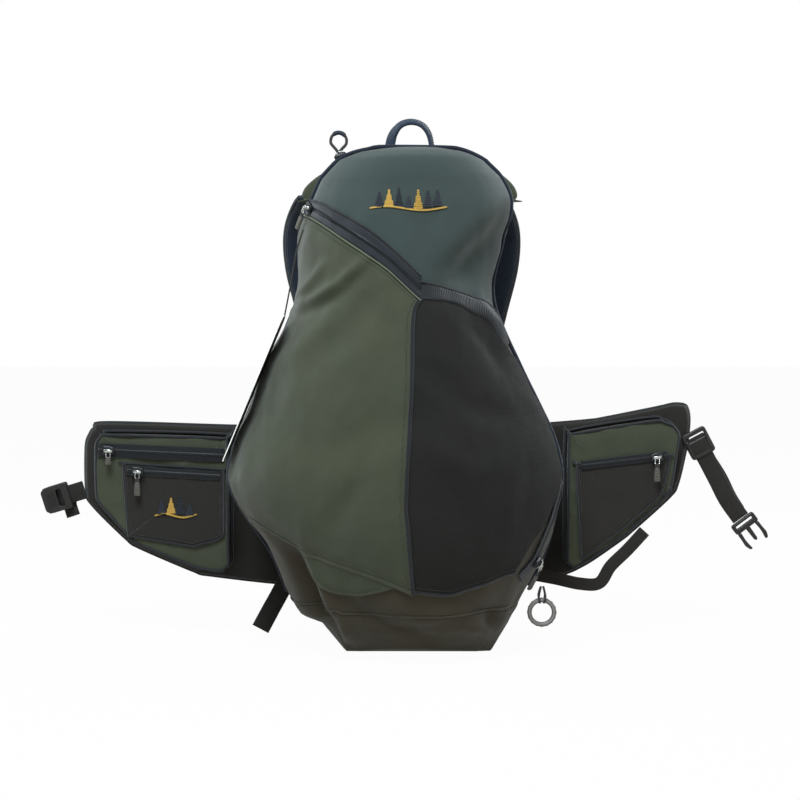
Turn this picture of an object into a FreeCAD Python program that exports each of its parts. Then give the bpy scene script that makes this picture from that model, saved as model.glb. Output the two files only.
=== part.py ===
"""Hunting backpack: soft bag on a padded harness and hip belt.

The pack stands upright on its base, its front towards -Y and the wearer's side towards +Y.
Millimetres; +Z up; the origin lies on the floor, under the middle of the bag.
"""
import FreeCAD, Part
import math
import os
import Sketcher

V = FreeCAD.Vector
doc = FreeCAD.newDocument("HuntingBackpack")
sheet = doc.addObject("Spreadsheet::Sheet", "Size")

SIZES = {
    # bag body
    "bag_height": 521, "half_width": 174.5, "bag_depth": 189, "back_plane": 55, "wall": 2.5,
    "base_top": 46, "seam_plane": -10, "zip_band": 6, "gap": 0.3, "overlay": 2,
    # back and harness
    "back_skin": 4, "sheet_thick": 2.5, "sleeve_thick": 3, "pad_thick": 12, "pad_width": 58, "pad_height": 62,
    "pad_pitch_x": 74, "pad_pitch_z": 74, "pad_low": 244, "belt_thick": 16, "belt_low": 66, "belt_high": 226,
    "belt_half": 105.5, "yoke_thick": 10, "strap_pad": 12, "pad_shift": 2,
    # handle
    "handle_foot_y": 30, "handle_left": -10, "handle_right": 37, "handle_seat": 517.9, "handle_rise": 36,
    "handle_width": 10, "handle_thick": 4,
    # hip belt wings
    "wing_axis_x": 112, "wing_axis_y": 67, "wing_thick": 12, "pocket_depth": 33, "pocket_wall": 2,
    "patch_depth": 1.6, "tape_thick": 1, "tape_width": 8,
    # webbing, buckle and small hardware
    "webbing": 20, "webbing_thick": 1.8, "buckle_length": 30, "buckle_width": 29, "buckle_thick": 10,
    "buckle_wall": 1.6, "prong_length": 21, "prong_thick": 5, "lock_length": 30,
    "lock_width": 28, "lock_thick": 5, "slider_length": 13, "slider_width": 10, "slider_thick": 4,
    "pull_length": 26, "short_pull": 15, "pull_width": 7, "pull_thick": 2.4, "ring_radius": 12.5,
    "ring_tube": 2.4, "tag_length": 158, "tag_width": 42, "tag_thick": 1, "string_radius": 0.8,
}
for row, (name, value) in enumerate(SIZES.items(), start=1):
    sheet.set(f"A{row}", name)
    sheet.set(f"B{row}", str(value))
    sheet.setAlias(f"B{row}", name)
doc.recompute()


def cell(name):
    """Value of one named size in millimetres."""
    return float(sheet.get(name))


# The bag's form, bottom to top: height, centre and half width, then the centre's distance in front of
# the back plane and the radius from front to back. Heights are shares of bag_height, widths of
# half_width and depths of bag_depth.
FORM = [
    (0.000, 0.086, 0.504, 0.333, 0.413), (0.048, 0.075, 0.607, 0.354, 0.487),
    (0.115, 0.075, 0.682, 0.370, 0.529), (0.192, 0.069, 0.797, 0.386, 0.566),
    (0.269, 0.017, 0.928, 0.397, 0.593), (0.345, -0.014, 1.000, 0.397, 0.603),
    (0.413, -0.014, 0.951, 0.391, 0.598), (0.480, -0.011, 0.860, 0.381, 0.582),
    (0.576, -0.029, 0.734, 0.365, 0.550), (0.662, -0.014, 0.613, 0.354, 0.519),
    (0.739, -0.006, 0.567, 0.344, 0.492), (0.825, 0.032, 0.607, 0.339, 0.466),
    (0.883, 0.066, 0.596, 0.333, 0.444), (0.940, 0.077, 0.533, 0.323, 0.413),
    (0.977, 0.075, 0.430, 0.315, 0.375), (0.992, 0.080, 0.320, 0.318, 0.280),
    (1.000, 0.085, 0.190, 0.318, 0.165),
]


def form(name, grow):
    """Solid of the bag's form with each section, the bottom and the top moved out by `grow`."""
    sections = []
    for number, (height, centre, half, forward, radius) in enumerate(FORM):
        ellipse = doc.addObject("Part::Ellipse", f"{name}_section_{number}")
        ellipse.setExpression("MajorRadius", f"{half} * Size.half_width + {grow}")
        ellipse.setExpression("MinorRadius", f"{radius} * Size.bag_depth + {grow}")
        ellipse.setExpression("Placement.Base.x", f"{centre} * Size.half_width")
        ellipse.setExpression("Placement.Base.y", f"Size.back_plane - {forward} * Size.bag_depth")
        shift = {0: f" - ({grow})", len(FORM) - 1: f" + {grow}"}.get(number, "")
        ellipse.setExpression("Placement.Base.z", f"{height} * Size.bag_height{shift}")
        sections.append(ellipse)
    loft = doc.addObject("Part::Loft", name)
    loft.Sections = sections
    loft.Solid = True
    return loft


def form_at(height):
    """Centre x, half width, centre y and depth radius of the form at a height in millimetres."""
    stations = [(h * cell("bag_height"), c * cell("half_width"), w * cell("half_width"),
                 cell("back_plane") - f * cell("bag_depth"), r * cell("bag_depth")) for h, c, w, f, r in FORM]
    last = len(stations) - 2
    low = next((n for n in range(last + 1) if stations[n + 1][0] >= height), last)
    around = [stations[min(max(low + step, 0), last + 1)] for step in (-1, 0, 1, 2)]
    t = (height - around[1][0]) / (around[2][0] - around[1][0])
    values = []
    for column in range(1, 5):
        before, start, end, after = (station[column] for station in around)
        leave = (end - before) / 2
        arrive = (after - start) / 2
        values.append(start + t * (leave + t * (3 * (end - start) - 2 * leave - arrive
                                                + t * (2 * (start - end) + leave + arrive))))
    return values


def skin_point(x, z, lift):
    """Point on the front of the form, moved out by `lift`, and the form's outward normal there."""
    def depth(across, height):
        centre_x, half, centre_y, radius = form_at(height)
        inside_share = max(1 - ((across - centre_x) / half) ** 2, 0)
        return centre_y - radius * math.sqrt(inside_share)
    step = 0.5
    slope_x = (depth(x + step, z) - depth(x - step, z)) / (2 * step)
    slope_z = (depth(x, z + step) - depth(x, z - step)) / (2 * step)
    normal = V(slope_x, -1, slope_z).normalize()
    return V(x, depth(x, z), z) + normal * lift, normal


def bind(item, **properties):
    """Bind properties to expressions; a double underscore stands for a dot."""
    for name, expression in properties.items():
        item.setExpression(name.replace("__", "."), str(expression))
    return item


def block(name, low, high):
    """Part::Box between two corners, each given as three expressions."""
    item = doc.addObject("Part::Box", name)
    for axis, side, start, end in zip("xyz", ("Length", "Width", "Height"), low, high):
        item.setExpression(f"Placement.Base.{axis}", str(start))
        item.setExpression(side, f"({end}) - ({start})")
    return item


def boolean(kind, name, *items):
    """Cut, Common or fuse of objects of the document."""
    if len(items) == 2:
        item = doc.addObject(f"Part::{kind}", name)
        item.Base, item.Tool = items
    else:
        item = doc.addObject(f"Part::Multi{kind}", name)
        item.Shapes = list(items)
    return item


def plane_sketch(body, role, name):
    """Sketch attached to one of the body's own origin planes."""
    plane = [feature for feature in body.Origin.OriginFeatures if feature.Role == role][0]
    sketch = body.newObject("Sketcher::SketchObject", name)
    sketch.AttachmentSupport = (plane, [""])
    sketch.MapMode = "FlatFace"
    return sketch


def polygon(sketch, points):
    """Closed outline whose corners are bound to expressions in the sketch's X and Y."""
    first = sketch.GeometryCount
    values = [(float(sketch.evalExpression(str(a))), float(sketch.evalExpression(str(b)))) for a, b in points]
    count = len(points)
    for number in range(count):
        start, end = values[number], values[(number + 1) % count]
        sketch.addGeometry(Part.LineSegment(V(*start, 0), V(*end, 0)))
    for number in range(count):
        after = first + (number + 1) % count
        sketch.addConstraint(Sketcher.Constraint("Coincident", first + number, 2, after, 1))
    for number, point in enumerate(points):
        for kind, value, expression in zip(("DistanceX", "DistanceY"), values[number], point):
            place = sketch.addConstraint(Sketcher.Constraint(kind, -1, 1, first + number, 1, value))
            sketch.setExpression(f"Constraints[{place}]", str(expression))


def prism(name, role, outlines, length):
    """Body padded from outlines on an origin plane: XZ pads towards -Y, YZ towards +X, XY towards +Z."""
    body = doc.addObject("PartDesign::Body", name)
    sketch = plane_sketch(body, role, f"{name}_outline")
    for outline in outlines:
        polygon(sketch, outline)
    pad = body.newObject("PartDesign::Pad", f"{name}_pad")
    pad.Profile = sketch
    pad.setExpression("Length", str(length))
    return body


def seat(item, x=0, y=0, z=0):
    """Place an item by expressions."""
    return bind(item, Placement__Base__x=x, Placement__Base__y=y, Placement__Base__z=z)


def share(points):
    """Front-view points as shares of the bag's half width and height, as expressions."""
    return [(f"{x} * Size.half_width", f"{z} * Size.bag_height") for x, z in points]


def ribbon(points, thick):
    """Closed outline of a band of the given thickness along a centre line of number pairs."""
    sides = [], []
    for number, (x, z) in enumerate(points):
        before = points[max(number - 1, 0)]
        after = points[min(number + 1, len(points) - 1)]
        back = math.atan2(z - before[1], x - before[0]) if number else None
        ahead = math.atan2(after[1] - z, after[0] - x) if number < len(points) - 1 else None
        back = ahead if back is None else back
        ahead = back if ahead is None else ahead
        half_turn = (ahead - back) / 2
        reach = thick / 2 / math.cos(half_turn)
        normal = back + half_turn + math.pi / 2
        sides[0].append((x + reach * math.cos(normal), z + reach * math.sin(normal)))
        sides[1].append((x - reach * math.cos(normal), z - reach * math.sin(normal)))
    return sides[0] + sides[1][::-1]


NODES = {}


def node(name, item):
    """Record an item as the sub-part `name`."""
    item.Label = name
    NODES[name] = item
    return item


# --- the bag ---------------------------------------------------------------------------------------
outside = form("outside", "0")
inside = form("inside", "-Size.wall")
skin_low = form("skin_low", "Size.gap")
skin_high = form("skin_high", "Size.gap + Size.overlay")
shell = boolean("Cut", "shell", outside, inside)
skin = boolean("Cut", "skin", skin_high, skin_low)

FAR = 400
FRONT_EDGE = "Size.seam_plane - Size.zip_band"
REAR = "Size.back_plane"
TOP = "Size.bag_height + 10"
node("base_panel", boolean("Common", "base", shell, block(
    "base_zone", (-FAR, -FAR, -1), (FAR, REAR, "Size.base_top"))))
node("front_panel", boolean("Common", "front", shell, block(
    "front_zone", (-FAR, -FAR, "Size.base_top"), (FAR, FRONT_EDGE, TOP))))
node("main_zip_tape", boolean("Common", "band", shell, block(
    "band_zone", (-FAR, FRONT_EDGE, "Size.base_top"), (FAR, "Size.seam_plane", TOP))))
node("gusset", boolean("Common", "side_wall", shell, block(
    "gusset_zone", (-FAR, "Size.seam_plane", "Size.base_top"), (FAR, REAR, TOP))))
node("back_panel", boolean("Common", "back", outside, block(
    "back_zone", (-FAR, REAR, -1), (FAR, f"{REAR} + Size.back_skin", TOP))))
SHEET_FRONT = f"{REAR} - Size.sheet_thick"
node("frame_sheet", seat(prism("frame_sheet", "XZ_Plane", [share([
    (-0.26, 0.14), (0.34, 0.14), (0.30, 0.86), (0.22, 0.90), (-0.14, 0.90), (-0.22, 0.86)])],
    "Size.sheet_thick"), y=REAR))
node("inner_sleeve", seat(prism("inner_sleeve", "XZ_Plane", [share([
    (-0.24, 0.16), (0.32, 0.16), (0.29, 0.72), (-0.21, 0.72)])],
    "Size.sleeve_thick"), y=f"{SHEET_FRONT} - Size.gap"))


def overlay(name, points):
    """Piece of the outer skin inside a front-view outline of shares."""
    cutter = prism(f"{name}_cutter", "XZ_Plane", [share(points)], FAR)
    return node(name, boolean("Common", f"{name}_piece", skin, cutter))


overlay("front_zip_tape", [(-0.70, 0.893), (-0.467, 0.890), (-0.35, 0.868), (-0.16, 0.833), (-0.01, 0.790),
                           (0.12, 0.745), (0.12, 0.709), (0.01, 0.738), (-0.17, 0.788), (-0.33, 0.825),
                           (-0.49, 0.862), (-0.70, 0.868)])
overlay("front_flap", [(-1.20, 0.865), (-0.49, 0.859), (-0.33, 0.822), (-0.17, 0.785), (0.01, 0.735),
                       (0.115, 0.706),
                       (0.075, 0.640), (0.065, 0.516), (0.040, 0.330), (0.050, 0.270), (0.085, 0.150),
                       (-0.17, 0.184), (-0.52, 0.222), (-0.82, 0.276), (-1.20, 0.300)])
overlay("lower_flap", [(-0.57, 0.209), (-0.37, 0.152), (-0.24, 0.144), (-0.10, 0.153), (-0.02, 0.160),
                       (-0.172, 0.181)])
overlay("stretch_pocket", [(0.118, 0.702), (0.29, 0.694), (0.47, 0.672), (0.55, 0.648), (0.63, 0.600),
                           (1.20, 0.600), (1.20, 0.350), (0.965, 0.345), (0.830, 0.250), (0.735, 0.178),
                           (0.58, 0.168), (0.41, 0.156), (0.29, 0.144), (0.092, 0.152), (0.055, 0.270),
                           (0.045, 0.330), (0.070, 0.516), (0.080, 0.638)])
overlay("pocket_hem", [(0.124, 0.738), (0.29, 0.724), (0.47, 0.703), (0.57, 0.677), (0.66, 0.603),
                       (0.635, 0.602), (0.553, 0.651), (0.472, 0.675), (0.291, 0.697), (0.120, 0.705)])
overlay("side_zip_tape", [(0.972, 0.345), (1.20, 0.345), (1.20, 0.325), (0.930, 0.250), (0.825, 0.165),
                          (0.742, 0.172), (0.837, 0.250)])

# --- back and harness -------------------------------------------------------------------------------
SKIN_BACK = f"{REAR} + Size.back_skin"
node("lumbar_belt", seat(prism("lumbar_belt", "XZ_Plane", [[
    ("-Size.belt_half", "Size.belt_low"), ("Size.belt_half", "Size.belt_low"),
    ("Size.belt_half", "Size.belt_high"), ("-Size.belt_half", "Size.belt_high")]],
    "Size.belt_thick"), y=f"{SKIN_BACK} + Size.belt_thick"))

pads = []
for column in (-1, 1):
    for level in range(3):
        low_x = f"{column} * Size.pad_pitch_x / 2 - Size.pad_width / 2 + Size.pad_shift"
        low_z = f"Size.pad_low + {level} * Size.pad_pitch_z"
        pads.append(block(f"pad_{len(pads)}", (low_x, SKIN_BACK, low_z), (
            f"{low_x} + Size.pad_width", f"{SKIN_BACK} + Size.pad_thick", f"{low_z} + Size.pad_height")))
pad_group = doc.addObject("Part::Compound", "pad_group")
pad_group.Links = pads
node("back_pads", pad_group)

node("harness_yoke", seat(prism("harness_yoke", "XZ_Plane", [share([
    (-0.62, 0.900), (0.76, 0.900), (0.76, 0.935), (0.66, 0.960), (0.44, 0.985), (-0.28, 0.985),
    (-0.50, 0.960), (-0.62, 0.935)])], "Size.yoke_thick"), y=f"{SKIN_BACK} + Size.yoke_thick"))

# --- grab handle ------------------------------------------------------------------------------------
PIVOT_Z = "(Size.handle_seat + Size.handle_width / 2)"
handle = prism("grab_handle", "XZ_Plane", [[
    ("Size.handle_left", "Size.handle_seat"),
    ("Size.handle_left + Size.handle_thick", "Size.handle_seat"),
    ("Size.handle_left + Size.handle_thick", "Size.handle_seat + Size.handle_rise - 12"),
    ("Size.handle_left + 12", "Size.handle_seat + Size.handle_rise - Size.handle_thick"),
    ("Size.handle_right - 12", "Size.handle_seat + Size.handle_rise - Size.handle_thick"),
    ("Size.handle_right - Size.handle_thick", "Size.handle_seat + Size.handle_rise - 12"),
    ("Size.handle_right - Size.handle_thick", "Size.handle_seat"),
    ("Size.handle_right", "Size.handle_seat"),
    ("Size.handle_right", "Size.handle_seat + Size.handle_rise - 10"),
    ("Size.handle_right - 10", "Size.handle_seat + Size.handle_rise"),
    ("Size.handle_left + 10", "Size.handle_seat + Size.handle_rise"),
    ("Size.handle_left", "Size.handle_seat + Size.handle_rise - 10")]], "Size.handle_width")
seat(handle, y="Size.handle_foot_y + Size.handle_width / 2")
foot = bind(doc.addObject("Part::Cylinder", "handle_foot"), Radius="Size.handle_width / 2",
            Height="Size.handle_right - Size.handle_left")
foot.Placement = FreeCAD.Placement(V(0, 0, 0), FreeCAD.Rotation(V(0, 1, 0), 90))
seat(foot, "Size.handle_left", "Size.handle_foot_y", PIVOT_Z)
upper = block("handle_upper", (-FAR, -FAR, PIVOT_Z), (FAR, FAR, FAR + FAR))
rounding = boolean("Fuse", "handle_rounding", foot, upper)
node("grab_handle", boolean("Common", "handle_shape", handle, rounding))

# --- shoulder straps --------------------------------------------------------------------------------
# Side view: distance behind the back plane and height. Front view: distance from the middle and height.
STRAP_LINE = [(18.3, 478), (46, 456), (62, 410), (62, 330), (50, 262), (44, 232)]
STRAP_OUTER = [(97, 486), (117, 470), (129, 440), (128, 400), (116, 350), (104, 300), (96, 250), (92, 226)]
STRAP_INNER = [(66, 226), (62, 250), (58, 300), (62, 350), (70, 400), (76, 440), (78, 466), (80, 486)]
WEB_LINE = [(38, 222), (30, 150), (21.3, 112)]
WEB_X = 79
LOCK_BEHIND = 39.2
LOCK_Z = 200, 230.4
STERNUM_Z = 372
STERNUM_DROP = 74
STERNUM_X = 82


def shoulder(side, shift):
    """Padded strap, its adjuster, the lower webbing and one half of the sternum strap."""
    word = {-1: "left", 1: "right"}[side]
    line = [(cell("back_plane") + y, z) for y, z in STRAP_LINE]
    profile = prism(f"{word}_strap_side", "YZ_Plane", [ribbon(line, cell("strap_pad"))], FAR)
    seat(profile, x=0 if side > 0 else -FAR)
    outline = [(side * x + shift, z) for x, z in STRAP_OUTER + STRAP_INNER]
    front = seat(prism(f"{word}_strap_front", "XZ_Plane", [outline], FAR), y=FAR)
    node(f"{word}_shoulder_strap", boolean("Common", f"{word}_strap", profile, front))
    web = [(cell("back_plane") + y, z) for y, z in WEB_LINE]
    webbing = prism(f"{word}_web_side", "YZ_Plane", [ribbon(web, cell("webbing_thick"))], "Size.webbing")
    middle = side * WEB_X + shift
    seat(webbing, x=f"{middle} - Size.webbing / 2")
    node(f"{word}_shoulder_webbing", webbing)
    near = f"Size.back_plane + {LOCK_BEHIND}"
    node(f"{word}_shoulder_adjuster", block(
        f"{word}_adjuster", (f"{middle} - Size.lock_width / 2", near, LOCK_Z[0]),
        (f"{middle} + Size.lock_width / 2", f"{near} + Size.lock_thick", LOCK_Z[1])))


STRAP_SHIFT = 4
for side in (-1, 1):
    shoulder(side, STRAP_SHIFT)

# --- hip belt wings ---------------------------------------------------------------------------------
WING = {
    "left": [(-112, 53), (-216, 64), (-292, 97), (-341, 147), (-341, 213), (-327, 231), (-177, 227),
             (-112, 224)],
    "right": [(112, 53), (180, 63), (206, 75), (250, 106), (304, 156), (316, 209), (318, 245), (309, 253),
              (282, 247), (216, 234), (112, 224)],
}
POCKET = {
    "left": [(-182, 72), (-214, 75), (-284, 104), (-325, 151), (-325, 214), (-316, 222), (-182, 218)],
    "right": [(182, 74), (204, 84), (244, 112), (294, 160), (300, 205), (303, 228), (280, 238), (182, 222)],
}
PATCH = {
    "left": [(-186, 110), (-220, 100), (-290, 112), (-295, 191), (-186, 184)],
    "right": [(196, 86), (240, 118), (284, 158), (292, 200), (190, 190)],
}
# Zip lines on a wing: start and end of each tape in front view, at the middle of the tape.
ZIP_LINE = {
    "left_upper": [(-321, 205), (-186, 199)], "left_lower": [(-290, 183), (-190, 177)],
    "right_lower": [(288, 199), (196, 188)],
}
POCKET_FRONT = "Size.wing_axis_y - Size.wing_thick / 2 - Size.pocket_depth"
PATCH_FRONT = f"({POCKET_FRONT} - Size.patch_depth)"


def hip_wing(word):
    """Padded wing with a rounded hinge edge, its hollow pocket and the flat patch pocket on that."""
    slab = seat(prism(f"{word}_wing_slab", "XZ_Plane", [WING[word]], "Size.wing_thick"),
                y="Size.wing_axis_y + Size.wing_thick / 2")
    edge = bind(doc.addObject("Part::Cylinder", f"{word}_wing_edge"), Radius="Size.wing_thick / 2",
                Height=WING[word][-1][1] - WING[word][0][1])
    sign = 1 if word == "right" else -1
    seat(edge, f"{sign} * Size.wing_axis_x", "Size.wing_axis_y", WING[word][0][1])
    node(f"{word}_wing", boolean("Fuse", f"{word}_wing_shape", slab, edge))
    outer = prism(f"{word}_pocket", "XZ_Plane", [POCKET[word]], "Size.pocket_depth")
    seat(outer, y="Size.wing_axis_y - Size.wing_thick / 2")
    hollow = outer.newObject("PartDesign::Thickness", f"{word}_pocket_hollow")
    doc.recompute()
    faces = [f"Face{n + 1}" for n, face in enumerate(outer.Tip.Shape.Faces)
             if abs(face.normalAt(0, 0).y) > 0.9 and abs(face.CenterOfMass.y) < 0.01]
    hollow.Base = (outer.Group[-2] if outer.Group[-1] is hollow else outer.Tip, faces)
    hollow.setExpression("Value", "Size.pocket_wall")
    hollow.Reversed = True
    outer.Tip = hollow
    node(f"{word}_wing_pocket", outer)
    patch = seat(prism(f"{word}_patch", "XZ_Plane", [PATCH[word]], "Size.patch_depth"), y=POCKET_FRONT)
    node(f"{word}_wing_front_pocket", patch)
    tapes = []
    for level, front in (("upper", POCKET_FRONT), ("lower", PATCH_FRONT)):
        if f"{word}_{level}" not in ZIP_LINE:
            continue
        line = ribbon(ZIP_LINE[f"{word}_{level}"], cell("tape_width"))
        tapes.append(seat(prism(f"{word}_{level}_tape", "XZ_Plane", [line], "Size.tape_thick"), y=front))
    group = doc.addObject("Part::Compound", f"{word}_tapes")
    group.Links = tapes
    node(f"{word}_wing_zip_tapes", group)


for word in ("left", "right"):
    hip_wing(word)


# --- zip sliders and pulls --------------------------------------------------------------------------
def turned(item, x, y, z, rotation):
    """Give an item its place and rotation; the place is in numbers taken from the sheet."""
    item.Placement = FreeCAD.Placement(V(x, y, z), rotation)
    return item


def slider(name, place, rotation):
    """Zip slider: a body with a waisted outline and a bridge, its travel along its own X axis."""
    body = prism(f"{name}_body", "XZ_Plane", [[
        ("-Size.slider_length / 2", "-Size.slider_width / 2"), ("0", "-Size.slider_width / 2"),
        ("Size.slider_length / 2", "-Size.slider_width / 3"),
        ("Size.slider_length / 2", "Size.slider_width / 3"),
        ("0", "Size.slider_width / 2"), ("-Size.slider_length / 2", "Size.slider_width / 2")]],
        "Size.slider_thick")
    return node(name, turned(body, *place, rotation))


def pull(name, place, rotation, points):
    """Zip pull: a flat tab, padded from an outline in its own X and Z."""
    body = prism(f"{name}_body", "XZ_Plane", points, "Size.pull_thick")
    return node(name, turned(body, *place, rotation))


def tab(length, width):
    """Outline of a tab that hangs along -Z from its pivot, wider at its free end."""
    return [[(-width * 0.3, 0.9), (width * 0.3, 0.9), (width * 0.5, -length * 0.4), (width * 0.5, -length),
             (-width * 0.5, -length), (-width * 0.5, -length * 0.4)]]


def level_turn(degrees):
    """Rotation in the front view, counted from +X towards +Z."""
    return FreeCAD.Rotation(V(0, -1, 0), degrees)


LIFT = cell("gap")
PULL_LIFT = cell("slider_thick") + 0.4
PARK = 12
for key, (start, end) in ZIP_LINE.items():
    front = cell("wing_axis_y") - cell("wing_thick") / 2 - cell("pocket_depth")
    front -= cell("patch_depth") if key.endswith("lower") else 0
    front -= cell("tape_thick") + LIFT
    slope = math.degrees(math.atan2(end[1] - start[1], end[0] - start[0]))
    run = V(end[0] - start[0], 0, end[1] - start[1]).normalize()
    at = V(start[0], front, start[1]) + run * PARK
    slider(f"{key}_slider", at, level_turn(slope))
    length = cell("pull_length") if key.endswith("lower") else cell("short_pull")
    pull(f"{key}_pull", (at.x, at.y - PULL_LIFT, at.z), level_turn(0), tab(length, cell("pull_width")))


def frame_of(normal, along):
    """Rotation that turns a piece's -Y to `normal` and its +X to `along`, as nearly as they allow."""
    out = V(*normal).normalize()
    forward = V(*along)
    forward = (forward - out * forward.dot(out)).normalize()
    return FreeCAD.Rotation(forward, -out, forward.cross(-out), "XYZ")


# Zips on the bag: the route of each slider in front view, from where it is parked.
FRONT_ROUTE = [(-86, 457), (-40, 430), (8, 388)]
SIDE_ROUTE = [(139, 101), (152, 130), (163, 158)]
MAIN_ROUTE_X = [-58, 12, 82]
SKIN_LIFT = cell("gap") + cell("overlay") + 0.6
MIDDLE_LIFT = 3.2
SKIN_PULL_LIFT = PULL_LIFT + 0.95
MAIN_PULL_LIFT = PULL_LIFT + 1.5
MAIN_LIFT = 1.5


def main_route():
    """Points over the arch in the middle of the zip band, moved out by the slider's clearance."""
    points = []
    plane = cell("seam_plane") - cell("zip_band") / 2
    for x in MAIN_ROUTE_X:
        height = cell("bag_height")
        while True:
            centre_x, half, centre_y, radius = form_at(height)
            reach = half * math.sqrt(max(1 - ((plane - centre_y) / radius) ** 2, 0))
            if abs(x - centre_x) <= reach or height < cell("base_top"):
                break
            height -= 0.05
        points.append((x, height))
    return points


def skin_route(route):
    """Three points of a slider's route on the bag's front, with the normal at each."""
    return [skin_point(x, z, SKIN_LIFT + (MIDDLE_LIFT if number else 0))
            for number, (x, z) in enumerate(route)]


ROUTES = {"front": skin_route(FRONT_ROUTE), "side": skin_route(SIDE_ROUTE)}
PULL_TURN = {
    "front": FreeCAD.Rotation(V(0, 0, 1), -62) * level_turn(-24) * FreeCAD.Rotation(V(1, 0, 0), -18),
    "side": FreeCAD.Rotation(V(0, 0, 1), 38),
}
PULL_SIZE = {"front": (25, 8), "side": (30, 8)}
PULL_AT = {}
for name, route in ROUTES.items():
    (place, normal), (after, _) = route[0], route[1]
    slider(f"{name}_slider", place, frame_of(normal, after - place))
    PULL_AT[name] = place + normal * SKIN_PULL_LIFT
    pull(f"{name}_pull", PULL_AT[name], PULL_TURN[name], tab(*PULL_SIZE[name]))

arch = main_route()
main_plane = cell("seam_plane") - cell("zip_band") / 2
MAIN_NORMAL = V(-0.42, 0, 0.907)
MAIN_AT = V(arch[0][0], main_plane, arch[0][1]) + MAIN_NORMAL * MAIN_LIFT
slider("main_slider", MAIN_AT, frame_of(MAIN_NORMAL, (1, 0, 0.4)))
PULL_AT["main"] = MAIN_AT + MAIN_NORMAL * MAIN_PULL_LIFT
pull("main_pull", PULL_AT["main"] + V(0, cell("pull_thick") / 2, 0), level_turn(0),
     [[(-2, -0.5), (2, -0.5), (10, 7), (10, 16), (4, 22), (-5, 22), (-10, 16), (-9, 7)],
      [(-1, 3), (1, 3), (6, 9), (6, 15), (3, 18), (-3, 18), (-6, 15), (-6, 9)]])

# --- ring on the side zip ---------------------------------------------------------------------------
PULL_END = PULL_AT["side"] + PULL_TURN["side"].multVec(V(0, -cell("pull_thick") / 2, -PULL_SIZE["side"][0]))
RING_AT = PULL_END - V(0, 0, cell("ring_radius") + cell("ring_tube") + 4.6)
ring = bind(doc.addObject("Part::Torus", "ring_shape"), Radius1="Size.ring_radius", Radius2="Size.ring_tube")
node("side_ring", turned(ring, *RING_AT, FreeCAD.Rotation(V(1, 0, 0), 90)))
RING_CORD = V(7, 3, -0.8)
RING_CORD_LOW = V(-7, -3, -4.3)
cord = block("ring_cord_block", PULL_END + RING_CORD_LOW, PULL_END + RING_CORD)
node("ring_cord", cord)

# --- hang tag ---------------------------------------------------------------------------------------
TAG_TOP = V(-115.5, -52, 349)
TAG_LEAN = 22.8
lean = FreeCAD.Rotation(V(0, 1, 0), TAG_LEAN)
tag = bind(doc.addObject("Part::Box", "tag_card"), Length="Size.tag_thick", Width="Size.tag_width",
           Height="Size.tag_length")
low_corner = TAG_TOP + lean.multVec(V(0, -cell("tag_width") / 2, -cell("tag_length")))
node("hang_tag", turned(tag, *low_corner, lean))


def cord_path(points):
    """Wire of straight runs joined by tangent arcs, and the radii of the arcs."""
    edges, radii = [], []
    start = points[0]
    for before, corner, after in zip(points, points[1:], points[2:]):
        into, leaving = (corner - before), (after - corner)
        turn = into.getAngle(leaving)
        radius = 0.45 * min(into.Length, leaving.Length) / math.tan(turn / 2)
        trim = radius * math.tan(turn / 2)
        into.normalize()
        leaving.normalize()
        first, last = corner - into * trim, corner + leaving * trim
        middle_way = (leaving - into).normalize()
        middle = corner + middle_way * (radius / math.cos(turn / 2) - radius)
        edges += [Part.LineSegment(start, first).toShape(), Part.Arc(first, middle, last).toShape()]
        radii.append(radius)
        start = last
    edges.append(Part.LineSegment(start, points[-1]).toShape())
    return Part.Wire(edges), radii


def cord_tube(name, points, radius):
    """Tube of a cord along its route."""
    wire, radii = cord_path([V(*point) for point in points])
    ends = V(*points[0]), V(*points[1])
    profile = Part.Wire([Part.makeCircle(radius, ends[0], ends[1] - ends[0])])
    item = doc.addObject("Part::Feature", f"{name}_tube")
    item.Shape = wire.makePipeShell([profile], True, False)
    print(f"{name}: length {wire.Length:.1f}, volume ratio",
          round(item.Shape.Volume / (math.pi * radius ** 2 * wire.Length), 4), "arc radii",
          [round(value) for value in radii])
    return node(name, item)


STRING_ROUTE = [(-95.6, -54.6, 436.0), (-101.6, -54.4, 420.0), (-105.0, -53.6, 400), (-109.6, -52.6, 376),
                (-114.9, -52.0, 349.9)]
cord_tube("tag_string", STRING_ROUTE, cell("string_radius"))

# --- buckle halves and waist webbing ----------------------------------------------------------------
def strip(name, start, end, width, thick):
    """Flat webbing from start to end, its width in the front view, standing across its run."""
    run = V(*end) - V(*start)
    item = bind(doc.addObject("Part::Box", f"{name}_strip"), Width=thick, Height=width)
    item.Length = run.Length
    turn = frame_of((0, -1, 0), run)
    corner = V(*start) + turn.multVec(V(0, -cell("webbing_thick") / 2, -cell("webbing") / 2))
    return turned(item, *corner, turn)


BELT_Y = cell("wing_axis_y") - 9
HINGE_GAP = 0.7
BUCKLE_GAP = 0.95
LEFT_TILT = 197


def way(degrees):
    """Unit vector in the front view."""
    return V(math.cos(math.radians(degrees)), 0, math.sin(math.radians(degrees)))


LEFT_ROOT = V(-344.7, BELT_Y + 7, 157)
LEFT_END = LEFT_ROOT + way(LEFT_TILT) * 14
node("left_waist_strap", strip("left_waist", LEFT_ROOT, LEFT_END, "Size.webbing", "Size.webbing_thick"))


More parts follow.
